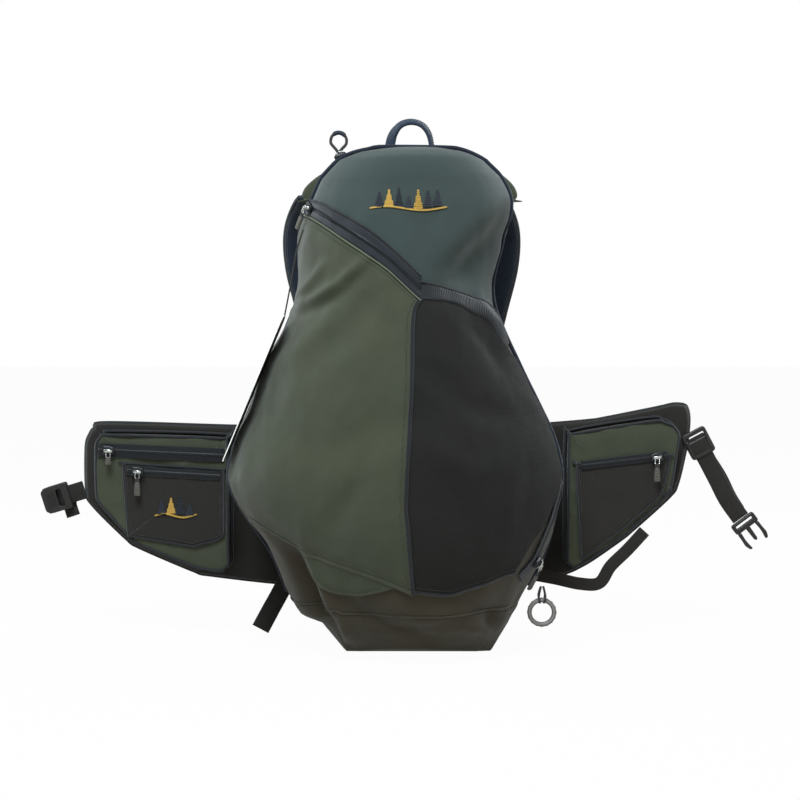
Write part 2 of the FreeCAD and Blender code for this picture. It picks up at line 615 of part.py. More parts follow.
def socket(name):
    """Female half of the buckle: a flat box, open at the end that takes the prongs."""
    outline = [[("0", "-Size.buckle_width / 2"), ("Size.buckle_length", "-Size.buckle_width / 2"),
                ("Size.buckle_length", "Size.buckle_width / 2"), ("0", "Size.buckle_width / 2")]]
    case = prism(f"{name}_case", "XZ_Plane", outline, "Size.buckle_thick")
    seat(case, y="Size.buckle_thick / 2")
    hollow = block(f"{name}_hollow", (5, "Size.buckle_wall - Size.buckle_thick / 2",
                                      "Size.buckle_wall - Size.buckle_width / 2"),
                   ("Size.buckle_length + 1", "Size.buckle_thick / 2 - Size.buckle_wall",
                    "Size.buckle_width / 2 - Size.buckle_wall"))
    return boolean("Cut", f"{name}_cut", case, hollow)


female = socket("female")
female.Placement = FreeCAD.Placement(LEFT_END + way(LEFT_TILT) * BUCKLE_GAP, level_turn(LEFT_TILT))
node("left_buckle_socket", female)

LOCK_TILT = -62
LOCK_AT = V(321.5, BELT_Y, 219)
lock_plate = prism("belt_lock", "XZ_Plane", [
    [(-4, "-Size.lock_width / 2"), ("Size.lock_length - 4", "-Size.lock_width / 2"),
     ("Size.lock_length - 4", "Size.lock_width / 2"), (-4, "Size.lock_width / 2")],
    [(9, -10.4), (12, -10.4), (12, 10.4), (9, 10.4)]], "Size.lock_thick")
LOCK_PLACE = LOCK_AT + V(0, cell("lock_thick") / 2, 0)
node("right_belt_lock", turned(lock_plate, *LOCK_PLACE, level_turn(LOCK_TILT)))
RIGHT_ROOT = LOCK_AT + way(LOCK_TILT) * (cell("lock_length") - 4 + HINGE_GAP)
RIGHT_LINE = [(RIGHT_ROOT.x, RIGHT_ROOT.z), (347, 171), (359, 148), (374, 127)]
node("right_waist_strap", seat(prism("right_waist", "XZ_Plane", [ribbon(RIGHT_LINE, cell("webbing"))],
                                     "Size.webbing_thick"), y=f"{BELT_Y} + Size.webbing_thick / 2"))
MALE_TILT = -53
MALE_AT = V(RIGHT_LINE[-1][0], BELT_Y, RIGHT_LINE[-1][1]) + way(MALE_TILT) * BUCKLE_GAP
MALE_TURN = level_turn(MALE_TILT)
MALE_BODY = 12
PRONG_ROOT = MALE_BODY + 0.4
male = prism("male", "XZ_Plane", [
    [(0, "-Size.buckle_width / 2"), (MALE_BODY, "-Size.buckle_width / 2"),
     (MALE_BODY, "Size.buckle_width / 2"), (0, "Size.buckle_width / 2")]], "Size.prong_thick")
turned(male, *(MALE_AT + MALE_TURN.multVec(V(0, cell("prong_thick") / 2, 0))), MALE_TURN)
node("right_buckle_body", male)
for side, word in ((1, "upper"), (-1, "lower")):
    prong = prism(f"{word}_prong", "XZ_Plane", [
        [(PRONG_ROOT, side * 13), (f"{PRONG_ROOT} + Size.prong_length", side * 11.8),
         (f"{PRONG_ROOT} + Size.prong_length", side * 8.5),
         (f"{PRONG_ROOT} + Size.prong_length * 0.6", side * 7.5), (PRONG_ROOT, side * 8.5)]],
        "Size.prong_thick")
    turned(prong, *(MALE_AT + MALE_TURN.multVec(V(0, cell("prong_thick") / 2, 0))), MALE_TURN)
    node(f"{word}_buckle_prong", prong)

# --- lower compression tails ------------------------------------------------------------------------
LEFT_TAIL = V(-107.5, 36, 87), V(-149, 36, 8.5)
node("left_lower_tail", strip("left_tail", *LEFT_TAIL, "Size.webbing", "Size.webbing_thick"))
TAIL_Y = 24
TAIL_LINE = [(132.4, 73.5), (168, 67), (196, 61), (216, 62), (228, 80), (246, 98), (264, 118)]
node("right_lower_tail", seat(prism("right_tail", "XZ_Plane", [ribbon(TAIL_LINE, cell("webbing") * 0.7)],
                                    "Size.webbing_thick"), y=TAIL_Y))

# --- sternum strap ----------------------------------------------------------------------------------
for side, word in ((-1, "left"), (1, "right")):
    middle = side * STERNUM_X + STRAP_SHIFT
    node(f"{word}_sternum_webbing", block(f"{word}_sternum", (
        f"{middle} - Size.webbing / 2", "Size.back_plane + 68.4", STERNUM_Z - STERNUM_DROP),
        (f"{middle} + Size.webbing / 2", "Size.back_plane + 68.4 + Size.webbing_thick", STERNUM_Z)))
    clip_low = STERNUM_Z - STERNUM_DROP - 30.4
    node(f"{word}_sternum_buckle", block(f"{word}_sternum_clip", (
        f"{middle} - Size.buckle_width / 2", "Size.back_plane + 65.4", clip_low),
        (f"{middle} + Size.buckle_width / 2", "Size.back_plane + 73.4", clip_low + 30)))

# --- checks and export ------------------------------------------------------------------------------
doc.recompute()
faults = [item.Label for item in doc.Objects if {"Invalid", "Error"} & set(item.State)]
for name, item in NODES.items():
    if item.Shape.isNull() or not item.Shape.isValid() or not item.Shape.Solids:
        faults.append(f"{name}: bad shape")
if faults:
    raise RuntimeError(f"failed: {faults}")
os.makedirs("parts", exist_ok=True)
for name, item in NODES.items():
    item.Shape.exportStep(f"parts/{name}.step")
    bounds = item.Shape.BoundBox
    print(f"{name}: {len(item.Shape.Solids)} solid(s), {item.Shape.Volume:.0f} mm3,",
          [round(v) for v in (bounds.XMin, bounds.YMin, bounds.ZMin, bounds.XMax, bounds.YMax, bounds.ZMax)])
print(len(NODES), "nodes")
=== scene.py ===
"""Hunting backpack: the visible cloth, webbing and hardware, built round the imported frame."""
import logging
import math
from dataclasses import dataclass, field
from enum import Enum
from typing import Callable, List, Optional, Sequence, Tuple

import bmesh
import bpy
import numpy as np
from mathutils import Matrix, Vector, noise


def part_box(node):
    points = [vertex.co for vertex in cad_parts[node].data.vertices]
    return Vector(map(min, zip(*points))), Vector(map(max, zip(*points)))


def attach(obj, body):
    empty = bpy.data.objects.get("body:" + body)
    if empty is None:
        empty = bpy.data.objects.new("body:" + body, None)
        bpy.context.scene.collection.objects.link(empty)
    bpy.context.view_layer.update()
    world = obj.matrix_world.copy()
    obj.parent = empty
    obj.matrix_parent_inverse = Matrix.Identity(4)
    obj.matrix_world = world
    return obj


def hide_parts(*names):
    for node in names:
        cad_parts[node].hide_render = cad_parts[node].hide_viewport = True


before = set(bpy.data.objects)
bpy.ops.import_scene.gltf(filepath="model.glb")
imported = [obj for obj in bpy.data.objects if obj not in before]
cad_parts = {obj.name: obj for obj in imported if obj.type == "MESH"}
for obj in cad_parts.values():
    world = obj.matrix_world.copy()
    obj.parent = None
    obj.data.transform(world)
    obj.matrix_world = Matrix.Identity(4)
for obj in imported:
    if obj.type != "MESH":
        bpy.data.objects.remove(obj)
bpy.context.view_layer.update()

LOG = logging.getLogger("backpack")
MM = 0.001
Point = Tuple[float, float]
Place = Callable[[float, float, float], Vector]
TO_FRONT = Vector((0, -1, 0))
TO_BACK = Vector((0, 1, 0))
TO_LEFT = Vector((-1, 0, 0))
DOWN = Vector((0, 0, -1))
TEETH_HEIGHT = 2.2 * MM
STITCH_PITCH = 3.0 * MM
COIL_PITCH = 1.5 * MM
WEB_WIDTH = 20 * MM
WEB_THICK = 1.8 * MM


# ------------------------------------------------------------------------------------------------
# Finishes
# ------------------------------------------------------------------------------------------------
class Weave(Enum):
    """How a cloth is made up, which sets the pattern of its bump and colour."""

    PLAIN = "plain"
    RIPSTOP = "ripstop"
    MESH = "mesh"
    RIBBED = "ribbed"


class NodeBench:
    """Shader nodes of one material, with short calls to add and join them."""

    def __init__(self, name: str) -> None:
        """Start a material with a Principled shader.

        Args:
            name: Name of the material.
        """
        self.material = bpy.data.materials.new(name)
        self.material.use_nodes = True
        self.nodes = self.material.node_tree.nodes
        self.shader = self.nodes["Principled BSDF"]

    def add(self, kind: str, **values: object) -> bpy.types.Node:
        """Add a node.

        Args:
            kind: Type name of the node.
            values: Attributes of the node, or inputs written as in_Name.

        Returns:
            The new node.
        """
        node = self.nodes.new(kind)
        for key, value in values.items():
            if key.startswith("in_"):
                node.inputs[key[3:].replace("_", " ")].default_value = value
            else:
                setattr(node, key, value)
        return node

    def join(self, start: bpy.types.NodeSocket, end: bpy.types.NodeSocket) -> None:
        """Link two sockets."""
        self.material.node_tree.links.new(start, end)

    def maths(self, operation: str, *inputs: object) -> bpy.types.NodeSocket:
        """Add a Math node on sockets or numbers.

        Args:
            operation: Name of the operation.
            inputs: Sockets or numbers.

        Returns:
            The node's value.
        """
        node = self.add("ShaderNodeMath", operation=operation)
        for number, item in enumerate(inputs):
            if isinstance(item, (int, float)):
                node.inputs[number].default_value = item
            else:
                self.join(item, node.inputs[number])
        return node.outputs[0]

    def tint(self, amount: object, low: Sequence[float], high: Sequence[float]) -> bpy.types.NodeSocket:
        """Mix two colours by an amount.

        Args:
            amount: Socket from 0 to 1.
            low: Colour at 0.
            high: Colour at 1.

        Returns:
            The colour.
        """
        mix = self.add("ShaderNodeMix", data_type="RGBA")
        self.join(amount, mix.inputs["Factor"])
        mix.inputs["A"].default_value = (*low, 1)
        mix.inputs["B"].default_value = (*high, 1)
        return mix.outputs["Result"]

    def bump(self, height: bpy.types.NodeSocket, distance: float, strength: float) -> None:
        """Drive the shader's normal from a height.

        Args:
            height: Height from 0 to 1.
            distance: Depth of the relief in metres.
            strength: Share of it that shows.
        """
        node = self.add("ShaderNodeBump", in_Distance=distance, in_Strength=strength)
        self.join(height, node.inputs["Height"])
        self.join(node.outputs["Normal"], self.shader.inputs["Normal"])


def darker(colour: Sequence[float], share: float) -> Tuple[float, ...]:
    """A colour times a share."""
    return tuple(min(part * share, 1.0) for part in colour)


@dataclass(frozen=True)
class Cloth:
    """A woven or knitted finish that follows the piece's own UV map, which is in metres."""

    name: str
    colour: Tuple[float, float, float]
    weave: Weave = Weave.PLAIN
    pitch: float = 0.0011
    depth: float = 0.00025
    roughness: float = 0.82
    sheen: float = 0.25
    warm: Tuple[float, float, float] = (1.18, 1.05, 0.86)
    fade: float = 0.35

    def make(self) -> bpy.types.Material:
        """Build the material.

        Returns:
            The material.
        """
        bench = NodeBench(self.name)
        uv = bench.add("ShaderNodeUVMap", uv_map="metres").outputs[0]
        split = bench.add("ShaderNodeSeparateXYZ")
        bench.join(uv, split.inputs[0])
        across, along = split.outputs[0], split.outputs[1]
        turn = math.tau / self.pitch
        warp = bench.maths("SINE", bench.maths("MULTIPLY", across, turn))
        weft = bench.maths("SINE", bench.maths("MULTIPLY", along, turn))
        height = self.relief(bench, across, along, warp, weft)
        place = bench.add("ShaderNodeTexCoord").outputs["Object"]
        cloud = bench.add("ShaderNodeTexNoise", in_Scale=9.0, in_Detail=4.0, in_Roughness=0.6)
        speck = bench.add("ShaderNodeTexNoise", in_Scale=1400.0, in_Detail=2.0)
        for texture in (cloud, speck):
            bench.join(place, texture.inputs["Vector"])
        broad = bench.tint(cloud.outputs["Fac"], darker(self.colour, 1 - self.fade / 2),
                           tuple(part * (1 + self.fade / 2) * hue for part,
                                 hue in zip(self.colour, self.warm)))
        fine = bench.add("ShaderNodeMix", data_type="RGBA", blend_type="MULTIPLY")
        fine.inputs["Factor"].default_value = 1.0
        grain = bench.maths("MULTIPLY_ADD", speck.outputs["Fac"], 0.5, 0.75)
        # painted shade: the weave's low places darken the cloth colour; this is multiplied by a random speck
        # grain, which is the cloth's own tone
        speck_and_weave_shade = bench.maths("MULTIPLY", grain, bench.maths("MULTIPLY_ADD", height, 0.45, 0.72))
        bench.join(broad, fine.inputs["A"])
        bench.join(speck_and_weave_shade, fine.inputs["B"])
        bench.join(fine.outputs["Result"], bench.shader.inputs["Base Color"])
        rough = bench.maths("MULTIPLY_ADD", speck.outputs["Fac"], 0.12, self.roughness - 0.06)
        bench.join(rough, bench.shader.inputs["Roughness"])
        bench.bump(height, self.depth, 0.8)
        bench.shader.inputs["Sheen Weight"].default_value = self.sheen
        bench.shader.inputs["Sheen Roughness"].default_value = 0.45
        bench.shader.inputs["Specular IOR Level"].default_value = 0.25
        return bench.material

    def relief(self, bench: NodeBench, across: object, along: object, warp: object, weft: object) -> object:
        """Height of the weave from 0 to 1.

        Args:
            bench: The material's nodes.
            across: Place along the weft, in metres.
            along: Place along the warp, in metres.
            warp: Sine of the warp threads.
            weft: Sine of the weft threads.

        Returns:
            Socket with the height.
        """
        cross = bench.maths("MULTIPLY_ADD", bench.maths("MULTIPLY", warp, weft), 0.5, 0.5)
        if self.weave is Weave.PLAIN:
            return cross
        if self.weave is Weave.RIBBED:
            return bench.maths("MULTIPLY_ADD", warp, 0.5, 0.5)
        if self.weave is Weave.MESH:
            holes = bench.maths("MAXIMUM", bench.maths("ABSOLUTE", warp), bench.maths("ABSOLUTE", weft))
            return bench.maths("POWER", holes, 2.0)
        cell = self.pitch * 2.3
        lines = []
        for place in (across, along):
            saw = bench.maths("ABSOLUTE", bench.maths("SINE", bench.maths("MULTIPLY", place, math.pi / cell)))
            lines.append(bench.maths("LESS_THAN", saw, 0.20))
        grid = bench.maths("MAXIMUM", *lines)
        ribs = bench.maths("MULTIPLY_ADD", warp, 0.25, 0.3)
        ground = bench.maths("MULTIPLY_ADD", cross, 0.25, ribs)
        return bench.maths("MULTIPLY_ADD", grid, 0.4, bench.maths("MULTIPLY", ground, 0.8))


@dataclass(frozen=True)
class Moulded:
    """A moulded plastic, rubber or painted metal finish."""

    name: str
    colour: Tuple[float, float, float]
    roughness: float = 0.45
    metallic: float = 0.0
    grain: float = 900.0
    depth: float = 0.00008

    def make(self) -> bpy.types.Material:
        """Build the material.

        Returns:
            The material.
        """
        bench = NodeBench(self.name)
        place = bench.add("ShaderNodeTexCoord").outputs["Object"]
        pores = bench.add("ShaderNodeTexNoise", in_Scale=self.grain, in_Detail=3.0)
        wear = bench.add("ShaderNodeTexNoise", in_Scale=60.0, in_Detail=5.0, in_Roughness=0.65)
        for texture in (pores, wear):
            bench.join(place, texture.inputs["Vector"])
        colour = bench.tint(wear.outputs["Fac"], darker(self.colour, 0.8), darker(self.colour, 1.25))
        bench.join(colour, bench.shader.inputs["Base Color"])
        rough = bench.maths("MULTIPLY_ADD", wear.outputs["Fac"], 0.2, self.roughness - 0.1)
        bench.join(rough, bench.shader.inputs["Roughness"])
        bench.shader.inputs["Metallic"].default_value = self.metallic
        bench.bump(pores.outputs["Fac"], self.depth, 0.5)
        return bench.material


class Finishes:
    """Every finish of the pack, each made once and then shared."""

    KINDS = (Cloth("olive_cloth", (0.046, 0.054, 0.036), pitch=0.0012, warm=(1.14, 1.04, 0.86)),
             # painted light: a cooler copy of the olive cloth for the upper front, standing in for cool light
             # from above
             Cloth("olive_upper", (0.033, 0.047, 0.044), pitch=0.0012, warm=(1.0, 1.04, 1.02)),
             # painted shade: a darker brownish copy of the olive cloth for the lower front, the base and the
             # base seam
             Cloth("base_cloth_painted_shade", (0.034, 0.030, 0.019), pitch=0.0012, warm=(1.2, 1.03, 0.82)),
             Cloth("dark_cloth", (0.017, 0.016, 0.015), pitch=0.0012, warm=(1.2, 1.0, 0.85)),
             Cloth("ripstop", (0.0100, 0.0100, 0.0098), Weave.RIPSTOP, pitch=0.0012, depth=0.0005,
                   roughness=0.85, sheen=0.05),
             Cloth("rib_hem", (0.015, 0.017, 0.022), Weave.RIBBED, pitch=0.0022, depth=0.0006),
             Cloth("zip_tape", (0.014, 0.018, 0.028), Weave.RIBBED, pitch=0.0009),
             Cloth("strap_mesh", (0.005, 0.010, 0.024), Weave.MESH, pitch=0.0042, depth=0.0009, fade=0.15),
             Cloth("back_mesh", (0.020, 0.023, 0.028), Weave.MESH, pitch=0.0048, depth=0.001, fade=0.15),
             Cloth("binding", (0.010, 0.011, 0.015), Weave.RIBBED, pitch=0.0010, depth=0.0003),
             Cloth("piping", (0.008, 0.013, 0.028), Weave.RIBBED, pitch=0.0012, depth=0.0003),
             Cloth("webbing", (0.014, 0.012, 0.011), Weave.PLAIN, pitch=0.0020, depth=0.0006, roughness=0.68),
             Cloth("handle_webbing", (0.014, 0.028, 0.060), Weave.PLAIN, pitch=0.0018, depth=0.0005,
                   roughness=0.7), Cloth("light_piping", (0.075, 0.090, 0.062), Weave.RIBBED, pitch=0.0010),
             Cloth("gold_thread", (0.60, 0.38, 0.07), Weave.RIBBED, pitch=0.0008, depth=0.0003,
                   roughness=0.5),
             Cloth("navy_thread", (0.012, 0.018, 0.034), Weave.RIBBED, pitch=0.0008, depth=0.0003),
             Cloth("thread", (0.028, 0.036, 0.028), Weave.RIBBED, pitch=0.0006),
             Cloth("dark_thread", (0.022, 0.022, 0.022), Weave.RIBBED, pitch=0.0006),
             Cloth("cord", (0.024, 0.023, 0.022), Weave.PLAIN, pitch=0.0012, depth=0.0003),
             Moulded("buckle_plastic", (0.012, 0.010, 0.009), 0.42),
             Moulded("slider_metal", (0.045, 0.045, 0.048), 0.35, 0.85),
             Moulded("bright_metal", (0.62, 0.62, 0.60), 0.28, 1.0),
             Moulded("zip_teeth", (0.016, 0.017, 0.019), 0.38),
             Moulded("pull_rubber", (0.075, 0.066, 0.055), 0.6),
             Moulded("ring_plastic", (0.120, 0.110, 0.100), 0.5),
             Moulded("tag_card", (0.030, 0.022, 0.018), 0.5), Moulded("tag_edge", (0.75, 0.73, 0.68), 0.7), )

    def __init__(self) -> None:
        """Make every finish."""
        self.made = {kind.name: kind.make() for kind in self.KINDS}

    def dress(self, piece: bpy.types.Object, name: str) -> bpy.types.Object:
        """Give a piece one finish and return the piece."""
        piece.data.materials.clear()
        piece.data.materials.append(self.made[name])
        return piece


# ------------------------------------------------------------------------------------------------
# Mesh helpers
# ------------------------------------------------------------------------------------------------
def new_piece(name: str, points: Sequence[Vector], faces: Sequence[Sequence[int]],
              uvs: Optional[Sequence[Point]] = None, smooth: bool = True) -> bpy.types.Object:
    """Make a mesh object.

    Args:
        name: Name of the piece.
        points: Places of its vertices, in metres.
        faces: Vertex numbers of its faces.
        uvs: One UV point for each vertex, in metres.
        smooth: Whether its faces are shaded smooth.

    Returns:
        The object, linked to the scene.
    """
    mesh = bpy.data.meshes.new(name)
    mesh.from_pydata([tuple(point) for point in points], [], [tuple(face) for face in faces])
    layer = mesh.uv_layers.new(name="metres")
    if uvs is not None:
        order = np.empty(len(mesh.loops), dtype=int)
        mesh.loops.foreach_get("vertex_index", order)
        layer.data.foreach_set("uv", np.array(uvs, dtype=float)[order].ravel())
    mesh.polygons.foreach_set("use_smooth", [smooth] * len(mesh.polygons))
    mesh.update()
    piece = bpy.data.objects.new(name, mesh)
    bpy.context.scene.collection.objects.link(piece)
    return piece


def flat_uv(piece: bpy.types.Object) -> None:
    """Rewrite the UV map of a piece in metres by projecting each face along its main axis."""
    mesh = piece.data
    layer = mesh.uv_layers.get("metres") or mesh.uv_layers.new(name="metres")
    for polygon in mesh.polygons:
        normal = [abs(part) for part in polygon.normal]
        first, second = [(1, 2), (0, 2), (0, 1)][normal.index(max(normal))]
        for loop in polygon.loop_indices:
            place = mesh.vertices[mesh.loops[loop].vertex_index].co
            layer.data[loop].uv = (place[first], place[second])


def smooth_line(points: Sequence[Sequence[float]], count: int) -> np.ndarray:
    """Catmull-Rom curve through points, sampled evenly along its length.

    Args:
        points: Points that the curve passes through.
        count: How many samples to return.

    Returns:
        Array of the samples.
    """
    given = np.array(points, dtype=float)
    if len(given) == 2:
        return np.linspace(given[0], given[1], count)
    padded = np.vstack([2 * given[0] - given[1], given, 2 * given[-1] - given[-2]])
    fine = []
    for number in range(len(given) - 1):
        a, b, c, d = padded[number:number + 4]
        for t in np.linspace(0, 1, 24, endpoint=False):
            fine.append(0.5 * (2 * b + (c - a) * t + (2 * a - 5 * b + 4 * c - d) * t * t
                               + (3 * b - a - 3 * c + d) * t ** 3))
    fine.append(given[-1])
    fine = np.array(fine)
    steps = np.r_[0, np.cumsum(np.linalg.norm(np.diff(fine, axis=0), axis=1))]
    wanted = np.linspace(0, steps[-1], count)
    return np.stack([np.interp(wanted, steps, fine[:, axis]) for axis in range(fine.shape[1])], axis=1)


def heading(points: Sequence[Vector], number: int, closed: bool = False) -> Vector:
    """Unit direction of a line of points at one of them."""
    count = len(points)
    before = points[(number - 1) % count] if closed else points[max(number - 1, 0)]
    after = points[(number + 1) % count] if closed else points[min(number + 1, count - 1)]
    return (Vector(after) - Vector(before)).normalized()


def square_to(way: Vector, axis: Vector) -> Vector:
    """The part of a direction that is square to an axis, as a unit direction."""
    return (way - axis * way.dot(axis)).normalized()


def shell_faces(rows: int, columns: int) -> List[Tuple[int, ...]]:
    """Faces of a closed shell whose outer grid of vertices comes before its inner one.

    Args:
        rows: Steps up the grid.
        columns: Steps across it.

    Returns:
        Vertex numbers of the faces, with the rim closed.
    """
    width, base = columns + 1, (rows + 1) * (columns + 1)
    faces = []
    for row in range(rows):
        for column in range(columns):
            a = row * width + column
            faces.append((a, a + 1, a + 1 + width, a + width))
            faces.append((base + a + width, base + a + 1 + width, base + a + 1, base + a))
    rim = list(range(width)) + [row * width + columns for row in range(1, rows + 1)]
    rim += [rows * width + column for column in range(columns - 1, -1, -1)]
    rim += [row * width for row in range(rows - 1, 0, -1)]
    for number, here in enumerate(rim):
        after = rim[(number + 1) % len(rim)]
        faces.append((here, base + here, base + after, after))
    return faces


def sweep(name: str, points: Sequence[Vector], normals: Sequence[Vector], width: float, thick: float,
          corners: int = 4, closed: bool = False) -> bpy.types.Object:
    """Sweep a rounded flat section along a line.

    Args:
        name: Name of the piece.
        points: Centre line.
        normals: Direction of the flat side at each point.
        width: Width of the section across the line.
        thick: Thickness of the section along the normal.
        corners: Points in each rounded end; with width equal to thick it is a round tube.
        closed: Whether the line joins up with its start.

    Returns:
        The swept piece.
    """
    half = thick / 2
    reach = max(width / 2 - half, 0)
    section = []
    for side in (1, -1):
        for step in range(corners + 1):
            angle = math.pi * step / corners
            section.append((side * (reach + half * math.sin(angle)), side * half * math.cos(angle)))
    rings, uvs = [], []
    run, count = 0.0, len(points)
    for number, point in enumerate(points):
        along = heading(points, number, closed)
        out = square_to(Vector(normals[number]), along)
        across = along.cross(out)
        if number:
            run += (Vector(point) - Vector(points[number - 1])).length
        girth = 0.0
        for place, (side, rise) in enumerate(section):
            rings.append(Vector(point) + across * side + out * rise)
            if place:
                girth += math.dist(section[place], section[place - 1])
            uvs.append((girth, run))
    size = len(section)
    faces = []
    last = count if closed else count - 1
    for number in range(last):
        for place in range(size):
            a, b = number * size + place, number * size + (place + 1) % size
            c = ((number + 1) % count) * size
            faces.append((a, b, c + (place + 1) % size, c + place))
    if not closed:
        faces.append(tuple(reversed(range(size))))
        faces.append(tuple(range((count - 1) * size, count * size)))
    return new_piece(name, rings, faces, uvs)


def join(name: str, pieces: Sequence[bpy.types.Object]) -> bpy.types.Object:
    """Join pieces into one.

    Args:
        name: Name of the joined piece.
        pieces: The pieces, which lose their own names.

    Returns:
        The joined piece.
    """
    with bpy.context.temp_override(active_object=pieces[0], object=pieces[0], selected_objects=list(pieces),
                                   selected_editable_objects=list(pieces)):
        bpy.ops.object.join()
    pieces[0].name = name
    pieces[0].data.name = name
    return pieces[0]


def beads(name: str, points: Sequence[Vector], normals: Sequence[Vector], pitch: float,
          size: Vector) -> bpy.types.Object:
    """Row of small rounded blocks along a line, for stitches and zip teeth.

    Args:
        name: Name of the piece.
        points: The line.
        normals: Direction away from the cloth at each point.
        pitch: Distance from one block to the next.
        size: Length along the line, width across it and height.

    Returns:
        One piece that holds the whole row.
    """
    line = [Vector(point) for point in points]
    steps = np.r_[0, np.cumsum([(b - a).length for a, b in zip(line, line[1:])])]
    corners, faces = [], []
    shape = [(-1, -0.55, 0), (-0.6, -1, 0), (0.6, -1, 0), (1, -0.55, 0), (1, 0.55, 0), (0.6, 1, 0),
             (-0.6, 1, 0), (-1, 0.55, 0), (-0.55, -0.4, 1), (0.55, -0.4, 1), (0.55, 0.4, 1), (-0.55, 0.4, 1)]
    sides = [(8, 9, 10, 11), (0, 1, 8), (1, 2, 9, 8), (2, 3, 9), (3, 4, 10, 9), (4, 5, 10), (5, 6, 11, 10),
             (6, 7, 11), (7, 0, 8, 11), (7, 6, 5, 4, 3, 2, 1, 0)]
    for place in np.arange(pitch / 2, steps[-1], pitch):
        number = min(int(np.searchsorted(steps, place)), len(line) - 1)
        start, end = line[number - 1], line[number]
        share = (place - steps[number - 1]) / max(steps[number] - steps[number - 1], 1e-9)
        centre = start.lerp(end, share)
        along = (end - start).normalized()
        out = square_to(Vector(normals[number]), along)
        across = along.cross(out)
        base = len(corners)
        corners += [centre + along * (a * size.x / 2) + across * (b * size.y / 2) + out * (c * size.z)
                    for a, b, c in shape]
        faces += [tuple(base + corner for corner in side) for side in sides]
    return new_piece(name, corners, faces, [(corner.x, corner.z) for corner in corners], smooth=False)


def coons(edges: Sequence[np.ndarray], u: float, v: float) -> np.ndarray:
    """Point of a patch between four sampled edges.

    Args:
        edges: Bottom and top, sampled left to right, then left and right, sampled bottom to top.
        u: Place from left to right, 0 to 1.
        v: Place from bottom to top, 0 to 1.

    Returns:
        The point.
    """
    def pick(edge: np.ndarray, share: float) -> np.ndarray:
        """Point at a share of a sampled edge."""
        place = share * (len(edge) - 1)
        low = min(int(place), len(edge) - 2)
        return edge[low] + (edge[low + 1] - edge[low]) * (place - low)

    bottom, top, left, right = edges
    ruled = (1 - v) * pick(bottom, u) + v * pick(top, u) + (1 - u) * pick(left, v) + u * pick(right, v)
    corners = ((1 - u) * (1 - v) * bottom[0] + u * (1 - v) * bottom[-1] + (1 - u) * v * top[0]
               + u * v * top[-1])
    return ruled - corners


@dataclass
class Panel:
    """A sewn cloth panel with a thickness, laid on a surface inside four edges."""

    name: str
    bottom: Sequence[Point]
    top: Sequence[Point]
    left: Sequence[Point]
    right: Sequence[Point]
    thick: float = 1.2 * MM
    lift: float = 0.0
    puff: float = 0.0
    across: int = 60
    along: int = 60
    edge_radius: float = 0.06

    def build(self, place: Place) -> bpy.types.Object:
        """Build the panel.

        Args:
            place: Gives the point of the surface for a front-view place and a lift.

        Returns:
            The panel as a closed mesh.
        """
        edges = [smooth_line(edge, 80) for edge in (self.bottom, self.top, self.left, self.right)]
        outer, inner, uvs = [], [], []
        for row in range(self.along + 1):
            v = row / self.along
            for column in range(self.across + 1):
                u = column / self.across
                a, b = coons(edges, u, v)
                rim = min(u, 1 - u, v, 1 - v)
                crown = 1 - (1 - min(rim / self.edge_radius, 1.0)) ** 2
                swell = self.puff * (16 * u * (1 - u) * v * (1 - v)) ** 0.6
                outer.append(place(a, b, self.lift + self.thick * (0.35 + 0.65 * crown) + swell))
                inner.append(place(a, b, self.lift))
        width = self.across + 1
        for row in range(self.along + 1):
            run = 0.0
            for column in range(width):
                here = outer[row * width + column]
                if column:
                    run += (here - outer[row * width + column - 1]).length
                uvs.append((run - 0.5, here.z))
        uvs += uvs
        return new_piece(self.name, outer + inner, shell_faces(self.along, self.across), uvs)


# ------------------------------------------------------------------------------------------------
# The bag's surface
# ------------------------------------------------------------------------------------------------
@dataclass(frozen=True)
class Crease:
    """A soft fold in the bag's cloth, in front view and in metres."""

    points: Sequence[Point]
    width: float
    rise: float

    def at(self, x: float, z: float) -> float:
        """Rise of the fold at a front-view place."""
        nearest = 1.0
        count = len(self.points) - 1
        share = 0.0
        for number in range(count):
            (ax, az), (bx, bz) = self.points[number], self.points[number + 1]
            run_x, run_z = bx - ax, bz - az
            t = ((x - ax) * run_x + (z - az) * run_z) / (run_x ** 2 + run_z ** 2)
            t = min(max(t, 0.0), 1.0)
            away = math.hypot(x - ax - run_x * t, z - az - run_z * t)
            if away < nearest:
                nearest, share = away, (number + t) / count
        fade = math.sin(math.pi * (share * 0.9 + 0.05)) ** 0.5
        return self.rise * fade * math.exp(-(nearest / self.width) ** 2)


def mm_points(*points: Point) -> List[Point]:
    """Front-view points given in millimetres, in metres."""
    return [(x * MM, z * MM) for x, z in points]


